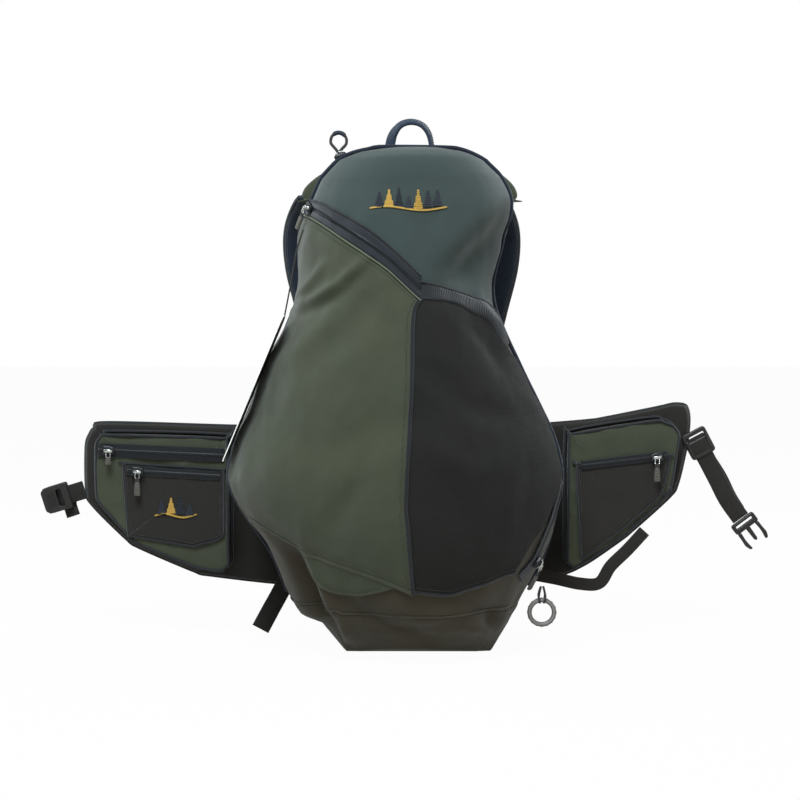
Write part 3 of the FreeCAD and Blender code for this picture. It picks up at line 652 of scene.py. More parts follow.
class BagForm:
    """The outside of the bag: ellipses whose centres and radii change with height."""

    STATIONS = (
        (0.000, 0.086, 0.504, 0.333, 0.413), (0.048, 0.075, 0.607, 0.354, 0.487),
        (0.115, 0.075, 0.682, 0.370, 0.529), (0.192, 0.069, 0.797, 0.386, 0.566),
        (0.269, 0.017, 0.928, 0.397, 0.593), (0.345, -0.014, 1.000, 0.397, 0.603),
        (0.413, -0.014, 0.951, 0.391, 0.598), (0.480, -0.011, 0.860, 0.381, 0.582),
        (0.576, -0.029, 0.734, 0.365, 0.550), (0.662, -0.014, 0.613, 0.354, 0.519),
        (0.739, -0.006, 0.567, 0.344, 0.492), (0.825, 0.032, 0.607, 0.339, 0.466),
        (0.883, 0.066, 0.596, 0.333, 0.444), (0.940, 0.077, 0.533, 0.323, 0.413),
        (0.977, 0.075, 0.430, 0.315, 0.375), (0.992, 0.080, 0.320, 0.318, 0.280),
        (1.000, 0.085, 0.190, 0.318, 0.165),
    )
    HEIGHT = 0.521
    HALF = 0.1745
    DEPTH = 0.189
    BACK = 0.055
    WRAP_FROM = 0.985
    RING_STEP = 0.002
    CREASES = (
        Crease(mm_points((116, 446), (84, 414), (52, 378)), 0.014, -0.0085),
        Crease(mm_points((104, 470), (70, 436), (30, 402)), 0.016, 0.0040),
        Crease(mm_points((-28, 409), (-56, 381), (-82, 365), (-108, 351)), 0.0060, 0.0052),
        Crease(mm_points((-36, 392), (-62, 368), (-92, 352)), 0.008, -0.0040),
        Crease(mm_points((-72, 402), (-86, 380), (-102, 366)), 0.0050, 0.0042),
        Crease(mm_points((-60, 350), (-88, 322), (-116, 300)), 0.010, 0.0038),
        Crease(mm_points((-20, 372), (-50, 330), (-96, 290)), 0.014, -0.0036),
        Crease(mm_points((82, 359), (96, 341), (108, 314)), 0.0060, 0.0050),
        Crease(mm_points((70, 340), (88, 322), (104, 296)), 0.0080, -0.0036),
        Crease(mm_points((-103, 116), (-84, 66), (-58, 12)), 0.0075, -0.0120),
        Crease(mm_points((-92, 116), (-70, 66), (-46, 16)), 0.0080, 0.0050),
        Crease(mm_points((-124, 110), (-102, 60), (-84, 22)), 0.012, 0.0060),
        Crease(mm_points((-130, 236), (-70, 222), (-8, 240)), 0.022, -0.0034),
        Crease(mm_points((-60, 150), (-34, 190), (-26, 250)), 0.012, -0.0030),
        Crease(mm_points((30, 300), (70, 262), (116, 246)), 0.013, -0.0040),
        Crease(mm_points((20, 230), (70, 200), (126, 212)), 0.015, 0.0032),
        Crease(mm_points((-48, 66), (-16, 34), (30, 20)), 0.010, -0.0046),
        Crease(mm_points((-10, 62), (24, 44), (66, 52)), 0.009, 0.0036),
        Crease(mm_points((58, 36), (90, 24), (116, 44)), 0.009, 0.0040),
        Crease(mm_points((74, 66), (92, 46), (98, 20)), 0.008, -0.0040),
        Crease(mm_points((-60, 486), (0, 476), (66, 488)), 0.016, -0.0022),
    )

    def __init__(self) -> None:
        """Sample the stations so that places can be looked up quickly."""
        rows = np.array(self.STATIONS)
        scale = np.array([self.HEIGHT, self.HALF, self.HALF, self.DEPTH, self.DEPTH])
        rows = rows * scale
        fine = []
        padded = np.vstack([2 * rows[0] - rows[1], rows, 2 * rows[-1] - rows[-2]])
        for number in range(len(rows) - 1):
            a, b, c, d = padded[number:number + 4]
            for t in np.linspace(0, 1, 20, endpoint=False):
                point = b + (c - a) / 2 * t + (2 * a - 5 * b + 4 * c - d) / 2 * t ** 2
                point = point + (3 * b - a - 3 * c + d) / 2 * t ** 3
                point[0] = b[0] + (c[0] - b[0]) * t
                fine.append(point)
        fine.append(rows[-1])
        self.fine = np.array(fine)

    def ring(self, z: float) -> Tuple[float, float, float, float]:
        """Centre x, half width, centre y and depth radius at a height."""
        values = [float(np.interp(z, self.fine[:, 0], self.fine[:, column])) for column in range(1, 5)]
        return values[0], values[1], self.BACK - values[2], values[3]

    def turn_at(self, x: float, z: float) -> float:
        """Angle round the bag of a front-view place, 0 at the middle; past the outline it wraps on."""
        centre, half, _, radius = self.ring(z)
        share = (x - centre) / half
        if abs(share) <= self.WRAP_FROM:
            return math.asin(share)
        extra = (abs(share) - self.WRAP_FROM) * half / radius
        return math.copysign(math.asin(self.WRAP_FROM) + extra, share)

    def turn_of_plane(self, y: float, z: float) -> float:
        """Angle round the bag at which its surface meets a plane across the depth."""
        _, _, middle, radius = self.ring(z)
        return math.acos(min(max((middle - y) / radius, -1.0), 1.0))

    def relief(self, x: float, y: float, z: float) -> float:
        """Rise of the cloth's folds at a place on the bag."""
        total = sum(crease.at(x, z) for crease in self.CREASES) if y < 0 else 0.0
        broad = noise.noise(Vector((x * 13, y * 13, z * 9)))
        folds = noise.noise(Vector((x * 38 + 7, y * 38, z * 21)))
        fine = noise.noise(Vector((x * 90, y * 90, z * 60 + 3)))
        calm = min(max((0.500 - z) / 0.05, 0.25), 1.0)
        return total + calm * (0.0034 * broad + 0.0021 * folds + 0.0006 * fine)

    def settle(self, point: Vector) -> Vector:
        """Round the bag's underside: the front and the sides of the base hang clear of the floor."""
        share = min(max(1 - point.z / 0.075, 0.0), 1.0) ** 1.3
        ahead = min(max((-point.y - 0.015) / 0.080, 0.0), 1.0) ** 1.6
        left = min(max((-point.x - 0.046) / 0.016, 0.0), 1.0)
        left = left * left * (3 - 2 * left)
        right = min(max((point.x - 0.085) / 0.030, 0.0), 1.0) ** 1.4
        rise = share * max(0.017 * ahead, 0.031 * left, 0.012 * right)
        spread = 0.014 * share * min(max((-point.x - 0.045) / 0.025, 0.0), 1.0)
        return Vector((point.x - spread, point.y, point.z + rise))

    def point(self, turn: float, z: float, lift: float) -> Vector:
        """Point of the surface.

        Args:
            turn: Angle round the bag, 0 at the middle of the front.
            z: Height.
            lift: Distance out from the surface.

        Returns:
            The point.
        """
        centre, half, middle, radius = self.ring(z)
        x, y = centre + half * math.sin(turn), middle - radius * math.cos(turn)
        out = Vector((math.sin(turn) * radius, -math.cos(turn) * half, 0)).normalized()
        above = self.ring(min(z + self.RING_STEP, self.HEIGHT))
        below = self.ring(max(z - self.RING_STEP, 0))
        spread = ((above[1] - below[1]) * abs(math.sin(turn)) + (above[3] - below[3]) * abs(math.cos(turn)))
        rise = -spread / (2 * self.RING_STEP)
        out = Vector((out.x, out.y, max(min(rise, 2.5), -1.2))).normalized()
        return self.settle(Vector((x, y, z)) + out * (lift + self.relief(x, y, z)))

    def place(self, x: float, z: float, lift: float) -> Vector:
        """Point of the surface at a front-view place."""
        return self.point(self.turn_at(x, z), z, lift)

    def outward(self, x: float, z: float) -> Vector:
        """Direction out of the surface at a front-view place."""
        return (self.place(x, z, 0.01) - self.place(x, z, 0)).normalized()


@dataclass
class Wrap:
    """A band of the bag's own shell between two heights and two planes across the depth."""

    name: str
    low: float
    high: float
    turns: Callable[[float], Tuple[float, float]]
    lift: float = 0.0
    rows: int = 110
    columns: int = 110
    cap_top: bool = False
    cap_low: bool = False
    thick: float = 2.2 * MM

    def build(self, form: BagForm) -> bpy.types.Object:
        """Build the band as a shell with a thickness."""
        outer, inner, uvs = [], [], []
        shares = np.linspace(0, 1, self.rows + 1)
        heights = self.low + (self.high - self.low) * (1 - (1 - shares) ** 1.35 if self.cap_top else shares)
        for z in heights:
            start, end = self.turns(z)
            _, half, _, radius = form.ring(z)
            for column in range(self.columns + 1):
                turn = start + (end - start) * column / self.columns
                outer.append(form.point(turn, z, self.lift))
                inner.append(form.point(turn, z, self.lift - self.thick))
                uvs.append((turn * (half + radius) / 2, z))
        width = self.columns + 1
        faces = shell_faces(self.rows, self.columns)
        for wanted, first, order in ((self.cap_top, self.rows * width, 1), (self.cap_low, 0, -1)):
            if wanted:
                faces.append(tuple(range(first, first + width))[::order])
        return new_piece(self.name, outer + inner, faces, uvs + uvs)


# ------------------------------------------------------------------------------------------------
# Solid shapes for padding, pockets and hardware
# ------------------------------------------------------------------------------------------------
@dataclass
class Pillow:
    """A cushion or a boxed pocket with a front-view outline and rounded edges."""

    name: str
    outline: Sequence[Point]
    back: float
    front: float
    edge: float = 5 * MM
    puff: float = 2 * MM
    samples: int = 160
    round_back: bool = True
    ripple: float = 0.5 * MM
    corner: float = 7 * MM

    def rim(self, inset: float = 0.0) -> List[Point]:
        """The outline, smoothed and moved in."""
        given = mm_points(*self.outline)
        corners = []
        count = len(given)
        for number, (x, z) in enumerate(given):
            for other in (given[number - 1], given[(number + 1) % count]):
                reach = math.dist(other, (x, z))
                share = min(self.corner / max(reach, 0.1 * MM), 0.30)
                corners.append((x + (other[0] - x) * share, z + (other[1] - z) * share))
        closed = smooth_line(corners + [corners[0]], self.samples + 1)[:-1]
        middle = closed.mean(axis=0)
        reach = np.linalg.norm(closed - middle, axis=1)[:, None]
        return [tuple(point) for point in middle + (closed - middle) * (1 - inset / reach)]

    def build(self) -> bpy.types.Object:
        """Build the cushion."""
        rim = np.array(self.rim())
        middle = rim.mean(axis=0)
        reach = np.linalg.norm(rim - middle, axis=1)[:, None]
        profile = []
        if self.round_back:
            profile += [(share, self.back) for share in (0.0, 0.35, 0.7)]
            profile += [("edge", self.back, angle) for angle in (0, 30, 60)]
        else:
            profile += [(0.0, self.back), (0.5, self.back), (1.0, self.back)]
        profile += [("edge", self.front, angle) for angle in (90, 65, 40, 20, 0)]
        profile += [(share, self.front) for share in (0.86, 0.7, 0.5, 0.3, 0.15, 0.0)]
        rings, uvs = [], []
        seed = len(self.name) * 0.37
        inward = 1 if self.front < self.back else -1
        for step in profile:
            if step[0] == "edge":
                _, plane, angle = step
                inset = self.edge * (1 - math.sin(math.radians(angle)))
                rise = self.edge * (1 - math.cos(math.radians(angle)))
                side = inward if plane == self.front else -inward
                flat = middle + (rim - middle) * (1 - inset / reach)
                depth = plane + side * rise
                swell = 0.0
            else:
                share, plane = step
                rounder = min(float(reach.mean()), 1.7 * float(reach.min()))
                blend = share + (1 - share) * rounder / reach
                flat = middle + (rim - middle) * share * blend * (1 - self.edge / reach)
                depth = plane
                swell = self.puff * (1 - share ** 2) if plane == self.front else 0.0
            for x, z in flat:
                fold = abs(noise.noise(Vector((x * 26 + seed, z * 34, seed)))) if plane == self.front else 0
                rings.append(Vector((x, depth - inward * (swell - fold * self.ripple), z)))
                uvs.append((x + (depth - self.front), z))
        faces = []
        for ring in range(len(profile) - 1):
            for number in range(self.samples):
                a = ring * self.samples + number
                b = ring * self.samples + (number + 1) % self.samples
                faces.append((a, b, b + self.samples, a + self.samples))
        piece = new_piece(self.name, rings, faces, uvs)
        tidy_mesh(piece)
        return piece


def tidy_mesh(piece: bpy.types.Object, reach: float = 1e-5) -> None:
    """Weld doubled vertices of a piece and turn its faces outwards."""
    mesh = bmesh.new()
    mesh.from_mesh(piece.data)
    bmesh.ops.remove_doubles(mesh, verts=mesh.verts, dist=reach)
    bmesh.ops.recalc_face_normals(mesh, faces=mesh.faces)
    mesh.to_mesh(piece.data)
    mesh.free()


def plate(name: str, outlines: Sequence[Sequence[Point]], thick: float, bevel: float,
          turn: Matrix) -> bpy.types.Object:
    """Flat plate with rounded edges, cut from outlines of which the later ones may be holes.

    Args:
        name: Name of the piece.
        outlines: Closed outlines in the plate's own X and Z, in metres.
        thick: Whole thickness along its own Y, centred.
        bevel: Radius of its edges.
        turn: Place and rotation in the row frame.

    Returns:
        The plate as a mesh.
    """
    curve = bpy.data.curves.new(name, "CURVE")
    curve.dimensions = "2D"
    curve.fill_mode = "BOTH"
    curve.extrude = max(thick / 2 - bevel, 0)
    curve.bevel_depth = bevel
    curve.bevel_resolution = 2
    curve.offset = -bevel
    for outline in outlines:
        spline = curve.splines.new("POLY")
        spline.points.add(len(outline) - 1)
        for point, (x, z) in zip(spline.points, outline):
            point.co = (x, z, 0, 1)
        spline.use_cyclic_u = True
    holder = bpy.data.objects.new(name, curve)
    bpy.context.scene.collection.objects.link(holder)
    bpy.context.view_layer.update()
    mesh = bpy.data.meshes.new_from_object(holder.evaluated_get(bpy.context.evaluated_depsgraph_get()))
    bpy.data.objects.remove(holder)
    lay = Matrix(((1, 0, 0, 0), (0, 0, 1, 0), (0, 1, 0, 0), (0, 0, 0, 1)))
    mesh.transform(turn @ lay)
    mesh.name = name
    piece = bpy.data.objects.new(name, mesh)
    bpy.context.scene.collection.objects.link(piece)
    tidy_mesh(piece)
    flat_uv(piece)
    return piece


def rounded(corners: Sequence[Point], radius: float, steps: int = 4) -> List[Point]:
    """Outline in millimetres with its corners rounded, in metres."""
    out = []
    count = len(corners)
    for number, (x, z) in enumerate(corners):
        before = Vector(corners[number - 1]) - Vector((x, z))
        after = Vector(corners[(number + 1) % count]) - Vector((x, z))
        trim = min(radius, before.length * 0.45, after.length * 0.45)
        start = Vector((x, z)) + before.normalized() * trim
        end = Vector((x, z)) + after.normalized() * trim
        for step in range(steps + 1):
            t = step / steps
            place = start * (1 - t) ** 2 + Vector((x, z)) * 2 * t * (1 - t) + end * t ** 2
            out.append((place.x * MM, place.y * MM))
    return out


def box_outline(x0: float, z0: float, x1: float, z1: float, radius: float) -> List[Point]:
    """Rounded rectangle in millimetres, in metres."""
    return rounded([(x0, z0), (x1, z0), (x1, z1), (x0, z1)], radius)


def tube(name: str, points: Sequence[Vector], radius: float, closed: bool = False) -> bpy.types.Object:
    """Round tube along points."""
    normals = [TO_FRONT if abs(heading(points, number, closed).y) < 0.9 else -DOWN
               for number in range(len(points))]
    return sweep(name, points, normals, 2 * radius, 2 * radius, corners=5, closed=closed)


def curve_points(points: Sequence[Sequence[float]], count: int) -> List[Vector]:
    """Smooth curve through points in millimetres, in metres."""
    return [Vector(point) * MM for point in smooth_line(points, count)]


def turned(place: Vector, out: Vector, along: Vector) -> Matrix:
    """Place and rotation whose own -Y points out and whose own X points along."""
    out = out.normalized()
    forward = square_to(along, out)
    up = forward.cross(-out)
    turn = Matrix((forward, -out, up)).transposed().to_4x4()
    turn.translation = place
    return turn


def on_back(x: float, y: float, z: float) -> Matrix:
    """Turn of a plate that faces backwards at a place in millimetres."""
    return turned(Vector((x, y, z)) * MM, TO_BACK, TO_LEFT)


def level(degrees: float) -> Vector:
    """Unit direction in the front view, counted from +X towards +Z."""
    return Vector((math.cos(math.radians(degrees)), 0, math.sin(math.radians(degrees))))


# ------------------------------------------------------------------------------------------------
# Sub-assemblies
# ------------------------------------------------------------------------------------------------
class Workshop:
    """Shared calls that every sub-assembly uses to finish a piece and hang it on its body."""

    def __init__(self) -> None:
        """Make the finishes and the bag's surface."""
        self.finishes = Finishes()
        self.form = BagForm()

    def mount(self, piece: bpy.types.Object, finish: str, body: str, nodes: Sequence[str] = (),
              slot: str = "") -> bpy.types.Object:
        """Dress a piece, make it ride on a body and let it stand for CAD nodes.

        Args:
            piece: The piece.
            finish: Name of its finish.
            body: Body that it rides on.
            nodes: CAD nodes that it stands for.
            slot: Name of a material slot; not used.

        Returns:
            The piece.
        """
        self.finishes.dress(piece, finish)
        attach(piece, body)
        if nodes:
            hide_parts(*nodes)
        return piece

    def skin_line(self, points: Sequence[Point], lift: float, count: int = 120) -> Tuple[List[Vector],
            List[Vector]]:
        """Line on the bag through front-view points in millimetres, and the outward directions there."""
        flat = smooth_line(mm_points(*points), count)
        return ([self.form.place(x, z, lift) for x, z in flat], [self.form.outward(x, z) for x, z in flat])

    def skin_tape(self, name: str, points: Sequence[Point], width: float, thick: float,
                  lift: float) -> bpy.types.Object:
        """Flat tape or round piping on the bag."""
        line, out = self.skin_line(points, lift)
        return sweep(name, line, out, width, thick, corners=4)

    def skin_coil(self, name: str, points: Sequence[Point], count: int) -> None:
        """Zip teeth on the bag through front-view points in millimetres."""
        line, out = self.skin_line(points, TEETH_HEIGHT, count)
        self.mount(beads(name, line, out, COIL_PITCH, Vector((1.1, 4.6, 1.1)) * MM), "zip_teeth", "pack")

    def stitches(self, name: str, points: Sequence[Point], lift: float) -> bpy.types.Object:
        """Row of stitches on the bag through front-view points in millimetres."""
        line, out = self.skin_line(points, lift, 160)
        return beads(name, line, out, STITCH_PITCH, Vector((2.1, 0.55, 0.35)) * MM)


FLAP_LOW = [(-150, 142), (-143.6, 144), (-112, 127.5), (-90, 116), (-29.5, 96), (14.8, 77)]
FLAP_RIGHT = [(14.8, 77), (9.8, 142), (7.8, 172), (12.7, 269), (14.7, 347), (21.6, 367)]
BAND_LOW = [(-104, 455), (-85.6, 449), (-57.3, 430), (-30.8, 412), (-11.8, 398), (3, 384), (21.6, 367)]
BAND_TOP = [(-104, 468), (-81.6, 464), (-61.5, 453), (-28.8, 433.5), (-3, 412.5), (21.6, 389)]
BAND_MIDDLE = [(-98, 461), (-83.5, 456.5), (-59.4, 441.5), (-29.8, 422.7), (-7.4, 405.3), (21.6, 378)]
HEM_TOP = [(21.6, 384), (51, 377), (82, 366), (96, 356), (106, 337), (118, 322)]
HEM_LOW = [(21.6, 366), (51, 363), (76, 352), (88, 343), (96, 330), (104, 316)]
POCKET_LOW = [(16.8, 79), (51, 75), (71, 81), (102, 89), (118, 92)]
LAYER_LOW = [(-97.5, 118), (-82, 92), (-65, 78), (-43, 75), (-18, 80), (-3, 85)]
LEFT_UPPER_ZIP = ((-321, 205), (-186, 199))
LEFT_LOWER_ZIP = ((-290, 183), (-190, 177))
RIGHT_LOWER_ZIP = ((288, 199), (196, 188))


@dataclass
class Bag:
    """The bag's own shell: front, top zip, gusset, base and back."""

    shop: Workshop
    arch_steps: int = 200
    seam_low: float = 0.046
    back_plane: float = 0.056
    # height where the front panel changes from its painted cool light colour to its darker painted shade
    # colour
    painted_light_split_height: float = 0.33

    def seam_turns(self, y_left: float) -> Callable[[float], Tuple[float, float]]:
        """Turns of the front panel's two edges at each height."""
        form = self.shop.form

        def turns(z: float) -> Tuple[float, float]:
            """Both edges at a height."""
            edge = form.turn_of_plane(y_left, z)
            return -edge, edge
        return turns

    def arch(self, y: float, low: float) -> List[Vector]:
        """Line up one side, over the top and down the other at one depth."""
        form = self.shop.form
        side = []
        heights = low + (form.HEIGHT - low) * (1 - (1 - np.linspace(0, 1, self.arch_steps // 2)) ** 1.6)
        for z in heights:
            _, _, middle, radius = form.ring(z)
            if 1 - ((y - middle) / radius) ** 2 <= 0.02:
                break
            side.append((form.turn_of_plane(y, z), z))
        left = [form.point(-turn, z, 0.0) for turn, z in side]
        right = [form.point(turn, z, 0.0) for turn, z in reversed(side)]
        whole = left + right
        return [Vector(point) for point in smooth_line(whole[::3], self.arch_steps)]

    def build(self) -> None:
        """Build the shell."""
        shop, form = self.shop, self.shop.form
        front = Wrap("front_panel_cloth", self.seam_low, form.HEIGHT, self.seam_turns(-0.016),
                     cap_top=True).build(form)
        # painted light and shade: faces above the split height take the cooler lit copy of the olive cloth,
        # faces below take the darker brownish copy as painted shade
        shop.mount(front, "olive_upper", "pack", ["front_panel"], "olive_cloth")
        front.data.materials.append(shop.finishes.made["base_cloth_painted_shade"])
        for polygon in front.data.polygons:
            polygon.material_index = 1 if polygon.center.z < self.painted_light_split_height else 0
        band = Wrap("main_zip_tapes", self.seam_low, form.HEIGHT - 0.002,
                    self.seam_turns(-0.010), lift=-0.6 * MM, columns=120).build(form)
        shop.mount(band, "zip_tape", "pack", ["main_zip_tape"], "zip_tape")
        gusset = Wrap("gusset_cloth", self.seam_low, form.HEIGHT, self.seam_turns(self.back_plane),
                      lift=-1.0 * MM, columns=140, cap_top=True).build(form)
        shop.mount(gusset, "olive_cloth", "pack", ["gusset"], "olive_cloth")
        # painted shade: the base takes the darker brownish copy of the olive cloth, as the underside in shade
        base = Wrap("base_cloth_painted_shade", 0.0, 0.048, self.seam_turns(self.back_plane), lift=0.4 * MM, rows=24,
                    columns=140, cap_low=True).build(form)
        for vertex in base.data.vertices:
            vertex.co.z = max(vertex.co.z, 0.0002)
        shop.mount(base, "base_cloth_painted_shade", "pack", ["base_panel"], "olive_cloth")
        self.build_arch()
        self.build_back()

    def build_arch(self) -> None:
        """Zip teeth over the top and the piping on both sides of them."""
        shop = self.shop
        for label, y, finish, radius in (("front", -0.0165, "piping", 2.4 * MM),
                                         ("rear", -0.0075, "piping", 1.7 * MM)):
            line = self.arch(y, 0.06)
            centre = Vector((0.010, y, 0.25))
            normals = [(point - centre).normalized() for point in line]
            lifted = [point + normal * radius * 0.6 for point, normal in zip(line, normals)]
            shop.mount(sweep(f"arch_piping_{label}", lifted, normals, 2 * radius, 2 * radius, 5), finish,
                       "pack")
        line = self.arch(-0.013, 0.06)
        centre = Vector((0.010, -0.013, 0.25))
        normals = [(point - centre).normalized() for point in line]
        coil = beads("arch_zip_coil", line, normals, 1.6 * MM, Vector((1.2, 5.0, 1.6)) * MM)
        shop.mount(coil, "zip_teeth", "pack")

    def build_back(self) -> None:
        """The padded back panel with its binding."""
        shop, form = self.shop, self.shop.form
        outline = []
        heights = np.linspace(0.002, form.HEIGHT - 0.001, 40)
        for sign, run in ((-1, heights), (1, heights[::-1])):
            for z in run:
                centre, half, middle, radius = form.ring(z)
                reach = half * math.sqrt(max(1 - ((self.back_plane - middle) / radius) ** 2, 0.0))
                outline.append(((centre + sign * reach) / MM, z / MM))
        back = Pillow("back_panel_mesh", outline, 54.5 * MM, 59.5 * MM, 2 * MM, 0.5 * MM, samples=220)
        shop.mount(back.build(), "back_mesh", "pack", ["back_panel", "frame_sheet", "inner_sleeve"],
                   "back_mesh")
        rim = [Vector((x, 0.0572, z)) for x, z in back.rim(0.5 * MM)]
        shop.mount(tube("back_binding", rim, 2.0 * MM, closed=True), "binding", "pack")


@dataclass
class FrontWork:
    """Everything sewn on the front of the bag."""

    shop: Workshop

    def build(self) -> None:
        """Build the flap, the pocket, the bands and their seams."""
        shop, form = self.shop, self.shop.form
        flap = Panel("front_flap_cloth", mm_points(*FLAP_LOW), mm_points(*BAND_LOW),
                     mm_points((-150, 142), (-186, 200), (-172, 300), (-104, 455)), mm_points(*FLAP_RIGHT),
                     thick=1.8 * MM, lift=0.7 * MM, puff=1.4 * MM, across=110, along=150)
        shop.mount(flap.build(form.place), "olive_cloth", "pack", ["front_flap"], "olive_cloth")
        layer = Panel("lower_flap_cloth", mm_points(*LAYER_LOW),
                      mm_points((-97.5, 120), (-60, 112), (-29.5, 100), (-3, 88)),
                      mm_points((-97.5, 118), (-97.5, 120)), mm_points((-3, 85), (-3, 88)), thick=1.2 * MM,
                      lift=0.5 * MM, across=60, along=24)
        shop.mount(layer.build(form.place), "olive_cloth", "pack", ["lower_flap"], "olive_cloth")
        pocket = Panel("stretch_pocket_cloth", mm_points(*POCKET_LOW), mm_points(*HEM_LOW),
                       mm_points((16.8, 79), (9.8, 142), (7.8, 172), (12.7, 269), (14.7, 347), (21.6, 366)),
                       mm_points((118, 92), (150, 140), (176, 185), (172, 230), (150, 275), (104, 316)),
                       thick=1.2 * MM, lift=0.4 * MM, puff=1.0 * MM, across=110, along=140)
        shop.mount(pocket.build(form.place), "ripstop", "pack", ["stretch_pocket"], "ripstop")
        hem = Panel("pocket_hem_band", mm_points(*HEM_LOW), mm_points(*HEM_TOP),
                    mm_points((21.6, 366), (21.6, 384)), mm_points((104, 316), (118, 322)), thick=2.0 * MM,
                    lift=0.7 * MM, puff=0.6 * MM, across=120, along=14, edge_radius=0.2)
        shop.mount(hem.build(form.place), "rib_hem", "pack", ["pocket_hem"], "ripstop")
        band = Panel("front_zip_band", mm_points(*BAND_LOW), mm_points(*BAND_TOP),
                     mm_points((-104, 455), (-104, 468)), mm_points((21.6, 367), (21.6, 389)), thick=1.2 * MM,
                     lift=1.1 * MM, across=120, along=12)
        shop.mount(band.build(form.place), "zip_tape", "pack", ["front_zip_tape"], "zip_tape")
        self.build_zip_lines()
        self.build_seams()

    def build_zip_lines(self) -> None:
        """Coils and tapes of the front zip and the side zip."""
        shop = self.shop
        shop.skin_coil("front_zip_coil", BAND_MIDDLE, 160)
        side = [(139, 101), (152, 130), (163, 158), (170, 180)]
        tape = shop.skin_tape("side_zip_band", [(124, 84), *side], 18 * MM, 1.2 * MM, 1.4 * MM)
        shop.mount(tape, "zip_tape", "pack", ["side_zip_tape"], "zip_tape")
        shop.skin_coil("side_zip_coil", side, 80)

    def build_seams(self) -> None:
        """Piping, binding and stitch rows."""
        shop = self.shop
        tapes = (("flap_piping",
                  [(-100, 453.5), (-84, 447), (-56.5, 428.5), (-30, 410), (-11, 396), (4, 382), (21.6, 365)],
                  1.8, 1.8, 2.6, "light_piping"),
                 ("band_edge", [(x, z + 1.0) for x, z in BAND_TOP], 3.0, 1.2, 1.6, "binding"),
                 ("flap_side_binding", FLAP_RIGHT, 4.2, 1.4, 2.3, "binding"),
                 ("flap_low_binding", FLAP_LOW, 3.6, 1.4, 2.0, "olive_cloth"),
                 ("layer_binding", LAYER_LOW, 3.0, 1.2, 1.4, "olive_cloth"),
                 ("hem_edge", HEM_TOP, 2.4, 1.6, 2.2, "binding"),
                 ("pocket_low_binding", POCKET_LOW, 3.2, 1.3, 1.5, "binding"),
                 # the base seam takes the darker brownish cloth colour, which is painted shade
                 ("base_seam", [(-112, 50), (-60, 49), (0, 48), (60, 49), (112, 52)], 2.2, 1.4, 0.6,
                  "base_cloth_painted_shade"), )
        for name, points, width, thick, lift, finish in tapes:
            shop.mount(shop.skin_tape(name, points, width * MM, thick * MM, lift * MM), finish, "pack")
        rows = (
            ("flap_stitch_side", [(x - 6, z) for x, z in FLAP_RIGHT], 3.6),
            ("flap_stitch_low", [(x, z + 7) for x, z in FLAP_LOW[1:]], 3.4),
            ("flap_stitch_top", [(x, z - 6) for x, z in BAND_LOW[1:]], 3.4),
            ("band_stitch_top", [(x, z - 2.6) for x, z in BAND_TOP[1:]], 2.4),
            ("band_stitch_low", [(x, z + 3.2) for x, z in BAND_LOW[1:]], 2.4),
            ("hem_stitch", [(x - 0.5, z + 2) for x, z in HEM_LOW[:-1]], 2.5),
            ("pocket_stitch", [(x + 1, z + 5) for x, z in POCKET_LOW], 2.2),
            ("layer_stitch", [(x, z + 4) for x, z in LAYER_LOW[1:-1]], 2.0),
        )
        for name, points, lift in rows:
            shop.mount(shop.stitches(name, points, lift * MM), "thread", "pack")


@dataclass
class Emblem:
    """Row of embroidered fir trees over a hill line, with no letters."""

    name: str
    centre: Point
    width: float
    height: float
    tones: Tuple[str, str]
    trees: int = 7
    rows: int = 9

    def threads(self) -> List[Tuple[str, List[Point]]]:
        """Thread runs in front view, in metres, each with its tone."""
        runs = []
        step = self.width / self.trees
        for number in range(self.trees):
            middle = self.centre[0] - self.width / 2 + step * (number + 0.5)
            tall = self.height * (0.62 + 0.38 * abs(math.sin(number * 1.9 + 0.6)))
            base = self.centre[1] - self.height / 2 + self.height * 0.08 * math.sin(number * 1.3)
            tone = self.tones[0 if number % 3 == 1 else 1]
            for row in range(self.rows):
                share = row / self.rows
                tier = 1 - share + 0.22 * ((row * 3) % self.rows) / self.rows
                reach = step * 0.46 * tier * (1 - share * 0.15)
                z = base + tall * share
                runs.append((tone, [(middle - reach, z), (middle + reach, z + 0.0002)]))
        hill = [(self.centre[0] - self.width * 0.56 + self.width * 1.12 * t,
                 self.centre[1] - self.height * 0.58 + self.height * 0.10 * math.sin(t * 7))
                for t in np.linspace(0, 1, 24)]
        runs.append((self.tones[0], hill))
        return runs

    def build(self, shop: Workshop, body: str, place: Place,
              outward: Callable[[float, float], Vector]) -> None:
        """Sew the threads on a surface and hang them on a body."""
        for tone in sorted(set(self.tones)):
            pieces = []
            for number, (colour, run) in enumerate(self.threads()):
                if colour != tone:
                    continue
                flat = smooth_line(run, 14)
                line = [place(x, z, 0.0006) for x, z in flat]
                out = [outward(x, z) for x, z in flat]
                pieces.append(sweep(f"{self.name}_run_{number}", line, out, self.height / 11, 0.8 * MM, 3))
            shop.mount(join(f"{self.name}_{tone}", pieces), tone, body)


